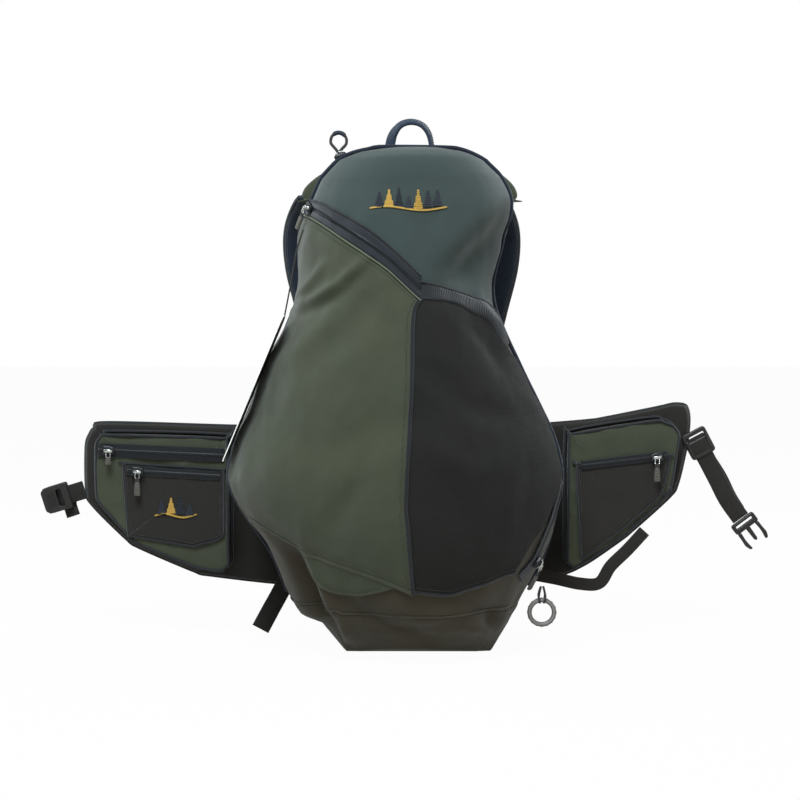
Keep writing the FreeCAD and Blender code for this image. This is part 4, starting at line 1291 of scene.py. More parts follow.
@dataclass
class Harness:
    """Yoke, shoulder straps, lumbar belt, back pads and the sternum strap."""

    shop: Workshop
    shift: float = 4.0
    pad_back: float = 58.6 * MM
    yoke_face: float = 69 * MM
    lumbar_face: float = 74.2 * MM
    pads_face: float = 70.0 * MM
    side_line: Sequence[Point] = ((18.3, 478), (46, 456), (62, 410), (62, 330), (50, 262), (44, 228))
    outer: Sequence[Point] = ((97, 486), (117, 470), (129, 440), (128, 400), (116, 350), (104, 300),
                              (96, 250), (92, 226))
    inner: Sequence[Point] = ((80, 486), (78, 466), (76, 440), (70, 400), (62, 350), (58, 300), (62, 250),
                              (66, 226))
    side: np.ndarray = field(init=False)
    fine_outer: np.ndarray = field(init=False)
    fine_inner: np.ndarray = field(init=False)

    def __post_init__(self) -> None:
        """Sample the strap's lines so that its points can be looked up."""
        self.side = smooth_line(self.side_line, 120)
        self.fine_outer = smooth_line(self.outer, 90)
        self.fine_inner = smooth_line(self.inner, 90)

    def strap_point(self, side: int, across: float, along: float, lift: float) -> Vector:
        """Point of a shoulder strap.

        Args:
            side: -1 for the left strap, 1 for the right.
            across: Place from the inner edge to the outer one, 0 to 1.
            along: Place from the top to the lower end, 0 to 1.
            lift: Distance out from the middle of the padding, away from the bag.

        Returns:
            The point.
        """
        line = self.side
        place = along * (len(line) - 1)
        low = min(int(place), len(line) - 2)
        y, z = line[low] + (line[low + 1] - line[low]) * (place - low)
        run = (line[low + 1] - line[low])
        normal = Vector((-run[1], run[0])).normalized()
        if normal.x < 0:
            normal = -normal
        x_in, x_out = (float(np.interp(-z, -edge[:, 1], edge[:, 0]))
                       for edge in (self.fine_inner, self.fine_outer))
        x = side * (x_in + (x_out - x_in) * across) + self.shift
        return Vector((x, 55 + y + normal.x * lift, z + normal.y * lift)) * MM

    def build(self) -> None:
        """Build the harness."""
        for side, word in ((-1, "left"), (1, "right")):
            self.build_strap(side, word)
            self.build_lower(side, word)
            self.build_sternum(side, word)
        self.build_back_padding()

    def strap_line(self, side: int, across: float, shares: np.ndarray,
                   lift: float) -> Tuple[List[Vector], List[Vector]]:
        """Line down a strap at shares of its length, and the directions away from the bag there."""
        away = [self.strap_point(side, across, t, 8.0) - self.strap_point(side, across, t, 6.0)
                for t in shares]
        return [self.strap_point(side, across, t, lift) for t in shares], away

    def build_strap(self, side: int, word: str) -> None:
        """One padded strap with its binding, seams and a webbing run down its middle."""
        shop = self.shop
        rows, columns, half = 110, 20, 5.6
        outer, inner, uvs = [], [], []
        for row in range(rows + 1):
            along = row / rows
            ends = min(along, 1 - along) * rows / 4
            slim = min(1.0, 0.45 + 0.55 * math.sqrt(min(ends, 1.0)))
            for column in range(columns + 1):
                across = column / columns
                rim = min(across, 1 - across) * 2
                plump = slim * (0.30 + 0.70 * math.sqrt(max(1 - (1 - min(rim * 2.2, 1.0)) ** 2, 0.0)))
                ridge = 1 + 0.10 * math.sin(along * 40) * (1 - rim)
                outer.append(self.strap_point(side, across, along, half * plump * ridge))
                inner.append(self.strap_point(side, across, along, -half * plump))
                uvs.append(((across - 0.5) * 0.05 * side, along * 0.29))
        body = f"{word}_harness"
        strap = new_piece(f"{word}_strap_padding", outer + inner, shell_faces(rows, columns), uvs + uvs)
        tidy_mesh(strap)
        shop.mount(strap, "strap_mesh", body, [f"{word}_shoulder_strap"], "strap_mesh")
        for edge, across in (("inner", 0.0), ("outer", 1.0)):
            line = [self.strap_point(side, across, t, 0) for t in np.linspace(0.01, 0.99, 90)]
            tape = sweep(f"{word}_strap_{edge}_binding", line, [Vector((0, 1, 0.2))] * 90, 3.4 * MM, 4.6 * MM,
                         5)
            shop.mount(tape, "binding", body)
        line, away = self.strap_line(side, 0.5, np.linspace(0.04, 0.93, 80), 6.2)
        shop.mount(sweep(f"{word}_strap_webbing", line, away, 20 * MM, 1.5 * MM, 4), "webbing", body)
        for number, across in enumerate((0.14, 0.86)):
            line, away = self.strap_line(side, across, np.linspace(0.03, 0.96, 90), 5.2)
            row = beads(f"{word}_strap_stitch_{number}", line, away, STITCH_PITCH,
                        Vector((2.1, 0.6, 0.4)) * MM)
            shop.mount(row, "dark_thread", body)

    def build_lower(self, side: int, word: str) -> None:
        """The adjuster and the webbing that runs down to the belt."""
        shop, body = self.shop, f"{word}_harness"
        middle = side * 79 + self.shift
        frame_plate = plate(f"{word}_adjuster_frame",
                            [box_outline(-14, -15, 14, 15, 3.5), box_outline(-10.4, -9.5, 10.4, -3, 1.2),
                             box_outline(-10.4, 3, 10.4, 9.5, 1.2)], 4.6 * MM, 1.1 * MM,
                            on_back(middle, 96.7, 215))
        shop.mount(frame_plate, "buckle_plastic", body, [f"{word}_shoulder_adjuster"], "buckle_plastic")
        line = curve_points([(middle, 97.5, 222), (middle, 98.5, 214), (middle, 95.5, 204),
                             (middle, 92.6, 194), (middle, 88, 170), (middle, 85, 150), (middle, 80.6, 130),
                             (middle, 76.5, 112.5)], 60)
        web = sweep(f"{word}_lower_webbing", line, [Vector((0, 1, -0.3))] * 60, WEB_WIDTH, WEB_THICK, 4)
        shop.mount(web, "webbing", body, [f"{word}_shoulder_webbing"], "webbing")

    def build_sternum(self, side: int, word: str) -> None:
        """One half of the sternum strap: webbing and its buckle."""
        shop, body = self.shop, f"{word}_sternum"
        middle = side * 82 + self.shift
        line = curve_points([(middle, 124.3, 371.5), (middle, 124.6, 345), (middle, 124.0, 320),
                             (middle, 124.3, 299)], 40)
        web = sweep(f"{word}_sternum_run", line, [TO_BACK] * 40, WEB_WIDTH, WEB_THICK, 4)
        shop.mount(web, "webbing", body, [f"{word}_sternum_webbing"], "webbing")
        slide = plate(f"{word}_sternum_slide",
                      [box_outline(-13.5, -7, 13.5, 7, 3), box_outline(-10.3, -4, 10.3, -1.5, 0.8),
                       box_outline(-10.3, 1.5, 10.3, 4, 0.8)], 3.4 * MM, 0.9 * MM,
                      on_back(middle, 126.2, 362))
        shop.mount(slide, "buckle_plastic", body)
        case = plate(f"{word}_sternum_clip",
                     [rounded([(-14.5, -15), (14.5, -15), (13, 2), (14.5, 15), (-14.5, 15), (-13, 2)], 4)],
                     8 * MM, 2.0 * MM, on_back(middle, 124.4, 282.6))
        shop.mount(case, "buckle_plastic", body, [f"{word}_sternum_buckle"], "buckle_plastic")
        rib = plate(f"{word}_sternum_ribs", [box_outline(-8, -1.2, 8, 1.2, 1.0)], 1.0 * MM, 0.3 * MM,
                    on_back(middle, 128.4, 282))
        shop.mount(rib, "buckle_plastic", body)

    def build_back_padding(self) -> None:
        """Yoke, lumbar belt and the six air-mesh pads."""
        shop = self.shop
        yoke = Pillow("yoke_cloth",
                      [(-99, 470), (124, 470), (131, 480), (115, 499), (77, 512.5), (-49, 512.5), (-87, 499),
                       (-106, 480)], self.pad_back, self.yoke_face, 4 * MM, 0.8 * MM, samples=200)
        piece = yoke.build()
        shop.mount(piece, "olive_cloth", "pack", ["harness_yoke"], "olive_cloth")
        rim = [Vector((x, 0.0686, z)) for x, z in yoke.rim(5 * MM)]
        shop.mount(beads("yoke_stitch", rim, [TO_BACK] * len(rim), STITCH_PITCH,
                         Vector((2.1, 0.6, 1.0)) * MM), "thread", "pack")
        lumbar = Pillow("lumbar_padding", [(-103.4, 66), (103.4, 66), (103.4, 226), (-103.4, 226)],
                        self.pad_back, self.lumbar_face, 6 * MM, 0.6 * MM, samples=220, ripple=0.7 * MM)
        piece = lumbar.build()
        shop.mount(piece, "back_mesh", "pack", ["lumbar_belt"], "back_mesh")
        grooves = []
        for number, z in enumerate((98, 130, 162, 194)):
            line = [Vector((x, 74.4, z + 2.5 * math.cos(x / 60))) * MM for x in np.linspace(-92, 92, 60)]
            grooves.append(sweep(f"lumbar_quilt_{number}", line, [TO_BACK] * 60, 3.4 * MM, 0.9 * MM, 3))
        shop.mount(join("lumbar_quilting", grooves), "binding", "pack")
        rim = [Vector((x, 0.0665, z)) for x, z in lumbar.rim(0.2 * MM)]
        shop.mount(tube("lumbar_binding", rim, 1.9 * MM, closed=True), "binding", "pack")
        pads = []
        for column in (-1, 1):
            for row in range(3):
                x, z = column * 37 - 27, 244 + row * 74
                pad = Pillow(f"back_pad_{len(pads)}", [(x, z), (x + 58, z), (x + 58, z + 62), (x, z + 62)],
                             58.8 * MM, self.pads_face, 5 * MM, 1.2 * MM, samples=120, ripple=0.5 * MM)
                pads.append(pad.build())
        group = join("back_pads_mesh", pads)
        shop.mount(group, "back_mesh", "pack", ["back_pads"], "back_mesh")


@dataclass
class Handle:
    """Grab handle of doubled webbing at the top of the bag."""

    shop: Workshop

    def build(self) -> None:
        """Build the handle and the stitch rows along its edges."""
        line = curve_points([(-9, 30, 517.6), (-8.4, 30, 528), (-5, 30, 540), (3, 30, 549.5), (14, 30, 552.6),
                             (25, 30, 549.5), (32, 30, 541), (35.2, 30, 529), (36, 30, 517.6)], 90)
        centre = Vector((0.0135, 0.030, 0.528))
        normals = []
        for number, point in enumerate(line):
            twist = math.radians(float(np.interp(number, (0, 16, 30, 60, 89), (82, 66, 34, 26, 12))))
            out = (point - centre).normalized()
            normals.append(Vector((out.x * math.cos(twist), -math.sin(twist), out.z * math.cos(twist))))
        shop = self.shop
        web = sweep("handle_webbing", line, normals, 11 * MM, 3.6 * MM, 5)
        shop.mount(web, "handle_webbing", "handle", ["grab_handle"], "handle_webbing")
        edges = []
        for sign in (-1, 1):
            offset = []
            for number, point in enumerate(line):
                across = heading(line, number).cross(normals[number]).normalized()
                offset.append(point + across * sign * 4.2 * MM)
            edges.append(beads(f"handle_stitch_{sign}", offset, normals, 2.6 * MM,
                               Vector((1.8, 0.5, 2.1)) * MM))
        shop.mount(join("handle_stitches", edges), "navy_thread", "handle")


@dataclass
class Zip:
    """A slider with its bridge and a cord or moulded pull."""

    shop: Workshop
    name: str
    slider_body: str
    tab_body: str
    place: Vector
    out: Vector
    along: Vector

    def build_slider(self) -> None:
        """Slider body, its bright bridge and the ribs on top."""
        shop = self.shop
        turn = turned(self.place + self.out.normalized() * 2.0 * MM, self.out, self.along)
        outline = rounded([(-6.5, -5), (0, -5), (6.5, -3.3), (6.5, 3.3), (0, 5), (-6.5, 5)], 1.6)
        low = plate(f"{self.name}_slider_shell", [outline], 3.6 * MM, 0.9 * MM, turn)
        shop.mount(low, "slider_metal", self.slider_body, [f"{self.name}_slider"], "slider_metal")
        path = [turn @ (Vector((x, y, 0)) * MM) for x,
                y in ((-4.6, -1.6), (-3.4, -3.4), (0, -4.2), (3.4, -3.4), (4.6, -1.6))]
        path = [Vector(point) for point in smooth_line(path, 20)]
        bridge = sweep(f"{self.name}_bridge", path, [self.out] * 20, 3.0 * MM, 1.2 * MM, 4)
        shop.mount(bridge, "bright_metal", self.slider_body)
        ribs = [plate(f"{self.name}_rib_{number}", [box_outline(-5.2, side - 0.5, 4.6, side + 0.5, 0.4)],
                      0.8 * MM, 0.25 * MM,
                      turned(self.place + self.out.normalized() * 4.1 * MM, self.out, self.along)) for number,
                side in enumerate((-2.6, 2.6))]
        shop.mount(join(f"{self.name}_slider_ribs", ribs), "slider_metal", self.slider_body)

    def build_tab(self, pivot: Vector, down: Vector, face: Vector, length: float, width: float,
                  grip: str) -> None:
        """Wire link, folded cord and moulded grip of a hanging pull.

        Args:
            pivot: Where the pull hangs, in metres.
            down: Direction in which it hangs.
            face: Direction that its flat side faces.
            length: Whole length in millimetres.
            width: Width of the grip in millimetres.
            grip: Finish of the grip.
        """
        shop = self.shop
        along = down.normalized()
        turn = turned(pivot, face, along)
        link = [(0.2, -1.5), (2.2, -2.1), (6.2, -2.1), (7.6, 0), (6.2, 2.1), (2.2, 2.1), (0.2, 1.5)]
        line = [turn @ (Vector((x, 0, z)) * MM) for x, z in smooth_line([*link, link[0]], 40)[:-1]]
        shop.mount(tube(f"{self.name}_link", line, 0.65 * MM, closed=True), "bright_metal", self.tab_body)
        cords = []
        for side in (-1, 1):
            run = [(6.4, 0, side * 0.4), (8.2, -0.2, side * 1.1), (length * 0.55, 0, side * 1.3),
                   (length * 0.7, 0, side * 1.2)]
            line = [turn @ (Vector(point) * MM) for point in smooth_line(run, 24)]
            cords.append(tube(f"{self.name}_cord_{side}", line, 1.05 * MM))
        shop.mount(join(f"{self.name}_cords", cords), "cord", self.tab_body)
        start = length * 0.42
        outline = rounded([(start, -width * 0.30), (start + 3, -width * 0.42), (length, -width * 0.5),
                           (length, width * 0.5), (start + 3, width * 0.42), (start, width * 0.30)],
                          width * 0.28)
        body = plate(f"{self.name}_grip", [outline], 3.0 * MM, 1.1 * MM, turn)
        shop.mount(body, grip, self.tab_body, [f"{self.name}_pull"], "pull_rubber")
        bars = []
        for number in range(3):
            x = start + (length - start) * (0.38 + 0.2 * number)
            bars.append(plate(f"{self.name}_bar_{number}",
                              [box_outline(x - 0.6, -width * 0.33, x + 0.6, width * 0.33, 0.5)], 3.7 * MM,
                              0.5 * MM, turn))
        shop.mount(join(f"{self.name}_grip_bars", bars), grip, self.tab_body)


def box_middle(node: str) -> Vector:
    """Middle of a CAD node's box, in metres."""
    low, high = (Vector(corner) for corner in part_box(node))
    return (low + high) / 2


def compass(count: int) -> List[Vector]:
    """Even directions round a circle in the front view."""
    return [Vector((math.cos(angle), 0, math.sin(angle)))
            for angle in np.linspace(0, math.tau, count, endpoint=False)]


def slab_inset(rim: Sequence[Point]) -> List[Point]:
    """Every tenth point of a rim, in millimetres, as the outline of a smaller cushion."""
    return [(x / MM, z / MM) for x, z in rim[::10]]


@dataclass
class Wing:
    """One hip wing with its pocket, patch, zips and bindings."""

    shop: Workshop
    word: str
    slab: Sequence[Point]
    pocket: Sequence[Point]
    patch: Sequence[Point]
    zips: Sequence[Tuple[str, Point, Point, float]]
    slab_back: float = 72.6 * MM
    slab_front: float = 61.0 * MM
    lining_back: float = 75.2 * MM
    pocket_back: float = 61.5 * MM
    pocket_front: float = 28.2 * MM
    patch_back: float = 29.0 * MM
    patch_front: float = 26.6 * MM

    def ring(self, name: str, pillow: Pillow, y: float, inset: float, radius: float, finish: str) -> None:
        """Binding tube round a cushion's outline at one depth."""
        rim = [Vector((x, y, z)) for x, z in pillow.rim(inset)]
        self.shop.mount(tube(name, rim, radius, closed=True), finish, f"{self.word}_hip")

    def build(self) -> None:
        """Build the wing."""
        shop, word, body = self.shop, self.word, f"{self.word}_hip"
        slab = Pillow(f"{word}_wing_padding", self.slab, self.slab_back, self.slab_front, 5 * MM, 1.0 * MM,
                      samples=240, ripple=1.2 * MM, corner=9 * MM)
        piece = slab.build()
        shop.mount(piece, "dark_cloth", body, [f"{word}_wing"], "dark_cloth")
        piece.data.materials.append(shop.finishes.made["back_mesh"])
        for polygon in piece.data.polygons:
            polygon.material_index = 1 if polygon.normal.y > 0.5 else 0
        lining = Pillow(f"{word}_wing_lining", slab_inset(slab.rim(16 * MM)), 72.0 * MM, self.lining_back,
                        1.5 * MM, 0.8 * MM, samples=200, corner=8 * MM)
        shop.mount(lining.build(), "back_mesh", body)
        self.ring(f"{word}_wing_binding", slab, 0.0668, 0.4 * MM, 2.4 * MM, "binding")
        pocket = Pillow(f"{word}_pocket_cloth", self.pocket, self.pocket_back, self.pocket_front, 5 * MM,
                        0.6 * MM, samples=240, round_back=False, ripple=4.0 * MM, corner=8 * MM)
        shop.mount(pocket.build(), "olive_cloth", body, [f"{word}_wing_pocket"], "olive_cloth")
        self.ring(f"{word}_pocket_piping", pocket, 0.0302, 1.6 * MM, 1.7 * MM, "binding")
        self.ring(f"{word}_pocket_base_piping", pocket, 0.0600, -0.6 * MM, 1.6 * MM, "binding")
        patch = Pillow(f"{word}_patch_cloth", self.patch, self.patch_back, self.patch_front, 1.0 * MM,
                       0.5 * MM, samples=200, ripple=1.4 * MM, corner=5 * MM)
        shop.mount(patch.build(), "dark_cloth", body, [f"{word}_wing_front_pocket"], "dark_cloth")
        self.ring(f"{word}_patch_binding", patch, 0.0272, 0.8 * MM, 1.2 * MM, "binding")
        rim = [Vector((x, 0.0266, z)) for x, z in patch.rim(4.5 * MM)]
        row = beads(f"{word}_patch_stitch", rim, [TO_FRONT] * len(rim), STITCH_PITCH,
                    Vector((2.1, 0.6, 0.9)) * MM)
        shop.mount(row, "dark_thread", body)
        tapes = []
        for name, start, end, front in self.zips:
            line = [Vector((x, front, z)) * MM for x, z in smooth_line([start, end], 30)]
            wide = 15 if name.endswith("upper") else 10
            tapes.append(sweep(f"{name}_tape", line, [TO_FRONT] * 30, wide * MM, 1.0 * MM, 3))
            coil = beads(f"{name}_coil", [point - Vector((0, 0.4, 0)) * MM for point in line],
                         [TO_FRONT] * 30, COIL_PITCH, Vector((1.1, 3.6, 1.0)) * MM)
            shop.mount(coil, "zip_teeth", body)
        shop.mount(join(f"{word}_zip_bands", tapes), "binding", body, [f"{word}_wing_zip_tapes"], "zip_tape")


@dataclass
class Belt:
    """The two hip wings, their zips and the waist strap's hardware."""

    shop: Workshop

    def build(self) -> None:
        """Build both sides of the hip belt."""
        shop = self.shop
        left = Wing(shop, "left",
                    [(-112, 53), (-216, 64), (-292, 97), (-341, 147), (-341, 213), (-327, 231), (-177, 227),
                     (-112, 224)],
                    [(-182, 72), (-214, 75), (-284, 104), (-325, 151), (-325, 214), (-316, 222), (-182, 218)],
                    [(-186, 110), (-220, 100), (-290, 112), (-295, 191), (-186, 184)],
                    [("left_upper", *LEFT_UPPER_ZIP, 27.6), ("left_lower", *LEFT_LOWER_ZIP, 26.0)])
        right = Wing(shop, "right",
                     [(112, 53), (180, 63), (206, 75), (250, 106), (304, 156), (316, 209), (318, 245),
                      (309, 253), (282, 247), (216, 234), (112, 224)],
                     [(182, 74), (204, 84), (244, 112), (294, 160), (300, 205), (303, 228), (280, 238),
                      (182, 222)], [(196, 86), (240, 118), (284, 158), (292, 200), (190, 190)],
                     [("right_lower", *RIGHT_LOWER_ZIP, 26.0)])
        left.build()
        right.build()
        self.build_zips()
        self.build_left_buckle()
        self.build_right_buckle()

    def build_zips(self) -> None:
        """Sliders and pulls of the wing pockets."""
        shop = self.shop
        for name, (start, end), front, length in (("left_upper", LEFT_UPPER_ZIP, 26.7, 15),
                                                  ("left_lower", LEFT_LOWER_ZIP, 25.1, 26),
                                                  ("right_lower", RIGHT_LOWER_ZIP, 25.1, 26)):
            run = Vector((end[0] - start[0], 0, end[1] - start[1])).normalized()
            place = (Vector((start[0], front, start[1])) + run * 12) * MM
            item = Zip(shop, name, f"{name}_zip", f"{name}_tab", place, TO_FRONT, run)
            item.build_slider()
            pivot = place + Vector((0, -5.6, 0)) * MM
            item.build_tab(pivot, DOWN, TO_FRONT, length, 7, "pull_rubber")

    def build_left_buckle(self) -> None:
        """Short strap and the female half of the buckle."""
        shop = self.shop
        along = level(197)
        root = Vector((-344.7, 65, 157)) * MM
        end = root + along * 14 * MM
        line = [root - along * 2 * MM + along * 18 * MM * t for t in np.linspace(0, 1, 20)]
        strap = sweep("left_waist_webbing", line, [TO_FRONT] * 20, WEB_WIDTH, WEB_THICK, 4)
        shop.mount(strap, "webbing", "left_belt_strap", ["left_waist_strap"], "webbing")
        fold = [(4, 2.4, 2), (-1, 3.2, -5), (-2, 4.0, -12), (0, 3.4, -19), (2, 3.0, -25)]
        line = [end + Vector(point) * MM for point in smooth_line(fold, 30)]
        tip = sweep("left_waist_tail", line, [TO_FRONT] * 30, 15 * MM, WEB_THICK, 4)
        shop.mount(tip, "webbing", "left_belt_strap")
        place = end + along * 0.95 * MM
        turn = turned(place, TO_FRONT, along)
        shell = [rounded([(0, -14.5), (24, -14.5), (30, -11.5), (30, 11.5), (24, 14.5), (0, 14.5)], 3)]
        shell.append(box_outline(7.5, -9.5, 13.5, 9.5, 1.6))
        halves = []
        for side in (-1, 1):
            halves.append(plate(f"left_buckle_face_{side}", shell if side < 0 else shell[:1], 2.6 * MM,
                                0.9 * MM, turn @ Matrix.Translation(Vector((0, side * 3.7, 0)) * MM)))
        for side in (-1, 1):
            halves.append(plate(f"left_buckle_wall_{side}",
                                [box_outline(0.4, side * 12.6 - 1.6, 27, side * 12.6 + 1.6, 1.2)], 9.4 * MM,
                                0.8 * MM, turn))
        halves.append(plate("left_buckle_bar", [box_outline(0.2, -13, 4.6, 13, 1.8)], 9.6 * MM, 1.6 * MM,
                            turn))
        for number in range(4):
            x = 16.5 + 2.4 * number
            halves.append(plate(f"left_buckle_grip_{number}", [box_outline(x, -7.5, x + 1.1, 7.5, 0.5)],
                                1.2 * MM, 0.4 * MM, turn @ Matrix.Translation(Vector((0, -5.1, 0)) * MM)))
        shop.mount(join("left_buckle_case", halves), "buckle_plastic", "left_buckle", ["left_buckle_socket"],
                   "buckle_plastic")

    def build_right_buckle(self) -> None:
        """Ladder lock, waist webbing and the forked half of the buckle."""
        shop = self.shop
        along = level(-62)
        at = Vector((321.5, 58, 219)) * MM
        turn = turned(at, TO_FRONT, along)
        lock = [plate("right_lock_frame",
                      [rounded([(-4, -14), (26, -14), (26, 14), (-4, 14)], 4),
                       box_outline(1, -10.4, 6.5, 10.4, 1.2), box_outline(9.5, -10.4, 13, 10.4, 1),
                       box_outline(16, -10.4, 21.5, 10.4, 1.2)], 4.8 * MM, 1.2 * MM, turn)]
        for side in (-1, 1):
            lock.append(plate(f"right_lock_ear_{side}",
                              [rounded([(4, side * 11 - 1.6), (25, side * 11 - 1.6), (25, side * 11 + 1.6),
                                        (4, side * 11 + 1.6)], 1.4)], 6.4 * MM, 1.0 * MM, turn))
        shop.mount(join("right_lock_plate", lock), "buckle_plastic", "right_hip", ["right_belt_lock"],
                   "buckle_plastic")
        root = at + along * 26.7 * MM
        start = [(-24, -0.2), (-14, 1.7), (-6, 1.9), (0, 0)]
        points = [(root + along * x * MM + Vector((0, -y, 0)) * MM) / MM for x, y in start]
        path = curve_points([*points, (347, 58, 171), (359, 58, 148), (374, 58, 127)], 90)
        web = sweep("right_waist_webbing", path, [TO_FRONT] * 90, 19.6 * MM, WEB_THICK, 4)
        shop.mount(web, "webbing", "right_belt_strap", ["right_waist_strap"], "webbing")
        under = curve_points([(root.x / MM - 3, 60.2, root.z / MM + 4), (349, 60.6, 172), (360, 60.4, 150),
                              (370, 60, 134)], 40)
        shop.mount(sweep("right_waist_return", under, [TO_FRONT] * 40, 19 * MM, 1.6 * MM, 4), "webbing",
                   "right_belt_strap")
        along = level(-53)
        place = Vector((374, 58, 127)) * MM + along * 0.95 * MM
        turn = turned(place, TO_FRONT, along)
        body = [plate("right_buckle_frame",
                      [rounded([(0, -14.5), (12, -14.5), (12, 14.5), (0, 14.5)], 3),
                       box_outline(3.4, -10.3, 6.4, 10.3, 1)], 5.4 * MM, 1.3 * MM, turn)]
        body.append(plate("right_buckle_spine",
                          [rounded([(10, -2.6), (27, -2.0), (29, 0), (27, 2.0), (10, 2.6)], 1.4)], 3.6 * MM,
                          1.0 * MM, turn))
        shop.mount(join("right_buckle_shell", body), "buckle_plastic", "right_buckle", ["right_buckle_body"],
                   "buckle_plastic")
        for side, word in ((1, "upper"), (-1, "lower")):
            arm = rounded([(12, side * 13.4), (21, side * 13.6), (27, side * 14.2), (33.4, side * 11.8),
                           (33.4, side * 8.6), (27, side * 9.6), (21, side * 10.0), (12, side * 9.2)], 1.6)
            shop.mount(plate(f"{word}_prong_arm", [arm], 4.8 * MM, 1.3 * MM, turn), "buckle_plastic",
                       f"{word}_prong", [f"{word}_buckle_prong"], "buckle_plastic")


@dataclass
class Trim:
    """The bag's sliders and pulls, the ring, the tails, the hang tag and its string. Sizes in millimetres."""

    shop: Workshop
    slider_seat: float = 2
    ring_radius: float = 12.5
    ring_thick: float = 2.4
    ring_ribs: int = 16
    tag_length: float = 158
    tag_half: float = 21
    tag_lean: float = 22.8
    eye_drop: float = 7

    def build(self) -> None:
        """Build the small parts."""
        self.build_main_zip()
        self.build_skin_zips()
        self.build_tails()
        self.build_tag()

    def build_main_zip(self) -> None:
        """Slider on the arch and its standing cord loop."""
        shop = self.shop
        out = Vector((-0.42, 0, 0.907))
        place = box_middle("main_slider") - out * self.slider_seat * MM
        item = Zip(shop, "main", "main_zip", "main_tab", place, out, Vector((1, 0, 0.46)))
        item.build_slider()
        low, high = (Vector(corner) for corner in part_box("main_pull"))
        middle = (low + high) / 2
        shape = [(0.06, -0.94), (0.30, -0.66),
                 *((0.82 * math.cos(angle), 0.10 + 0.74 * math.sin(angle))
                   for angle in np.radians(np.arange(-32, 220, 18))), (-0.30, -0.66), (-0.06, -0.94)]
        half = (high - low) / 2
        points = [(middle.x + x * half.x, middle.y + 0.4 * MM * math.sin(x * 3), middle.z + z * half.z) for x,
                  z in shape]
        line = [Vector(point) for point in smooth_line([*points, points[0]], 70)[:-1]]
        shop.mount(tube("main_pull_cord", line, 1.6 * MM, closed=True), "cord", "main_tab", ["main_pull"],
                   "pull_rubber")
        grip = [Vector(point) for point in smooth_line(points[6:12], 24)]
        shop.mount(tube("main_pull_grip", grip, 2.3 * MM), "piping", "main_tab")

    def build_skin_zips(self) -> None:
        """Sliders and pulls of the diagonal zip and the side zip, with the side zip's ring."""
        shop, form = self.shop, self.shop.form
        for name, at, after, length in (("front", (-86, 457), (-40, 430), 25),
                                        ("side", (139, 101), (152, 130), 30)):
            out = form.outward(at[0] * MM, at[1] * MM)
            along = form.place(after[0] * MM, after[1] * MM, 0) - form.place(at[0] * MM, at[1] * MM, 0)
            place = box_middle(f"{name}_slider") - out * self.slider_seat * MM
            item = Zip(shop, name, f"{name}_zip", f"{name}_tab", place, out, along)
            item.build_slider()
            low, high = (Vector(corner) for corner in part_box(f"{name}_pull"))
            pivot = place + out * 7.0 * MM
            end = out * 1.8 * MM + Vector(((low.x + high.x) / 2, (low.y + high.y) / 2, low.z + 2 * MM))
            if name == "front":
                end = out * 3.0 * MM + Vector((low.x + 3 * MM, (low.y + high.y) / 2, low.z + 3 * MM))
            item.build_tab(pivot, end - pivot, out, length, 8, "pull_rubber")
        middle = box_middle("side_ring")
        ring = [middle + way * self.ring_radius * MM for way in compass(64)]
        piece = tube("side_ring_loop", ring, self.ring_thick * MM, closed=True)
        shop.mount(piece, "ring_plastic", "ring", ["side_ring"], "ring_plastic")
        grips = []
        for number, way in enumerate(compass(self.ring_ribs)):
            spot = middle + way * 14.6 * MM
            grips.append(tube(f"ring_rib_{number}",
                              [spot - Vector((0, 1.6, 0)) * MM, spot + Vector((0, 1.6, 0)) * MM], 0.55 * MM))
        shop.mount(join("ring_grip", grips), "ring_plastic", "ring")
        top = middle + Vector((0, 0, 13.0)) * MM
        loops = []
        for number, spread in enumerate((-2.2, 2.2)):
            x, y, z = top / MM
            path = [(x + spread, y + 2.6, z - 3.4), (x + spread, y - 2.9, z - 2.0),
                    (x + spread * 1.5, y - 2.6, z + 4.0), (x + spread * 0.6, y - 1.0, z + 13.2),
                    (x + spread * 1.5, y + 2.4, z + 5.0), (x + spread, y + 3.0, z - 2.2)]
            loops.append(tube(f"ring_loop_{number}", curve_points(path, 24), 1.2 * MM))
        shop.mount(join("ring_cord_loops", loops), "cord", "ring", ["ring_cord"], "string")

    def build_tails(self) -> None:
        """Loose ends of the lower compression straps."""
        shop = self.shop
        line = curve_points([(-104, 36, 92), (-112, 36, 80), (-126, 35, 52), (-138, 36.5, 30),
                             (-149, 36, 9.5)], 60)
        twist = [Vector((0.25 * math.sin(t * 3), -1, 0.1)) for t in np.linspace(0, 1, 60)]
        shop.mount(sweep("left_tail_webbing", line, twist, 19.5 * MM, WEB_THICK, 4), "webbing", "left_tail",
                   ["left_lower_tail"], "webbing")
        line = curve_points([(132.4, 24, 73.5), (168, 24, 67), (196, 24, 61), (216, 24, 62), (228, 24, 80),
                             (246, 24, 98), (264, 24, 118)], 90)
        shop.mount(sweep("right_tail_webbing", line, [TO_FRONT] * 90, 13.6 * MM, WEB_THICK, 4), "webbing",
                   "right_tail", ["right_lower_tail"], "webbing")

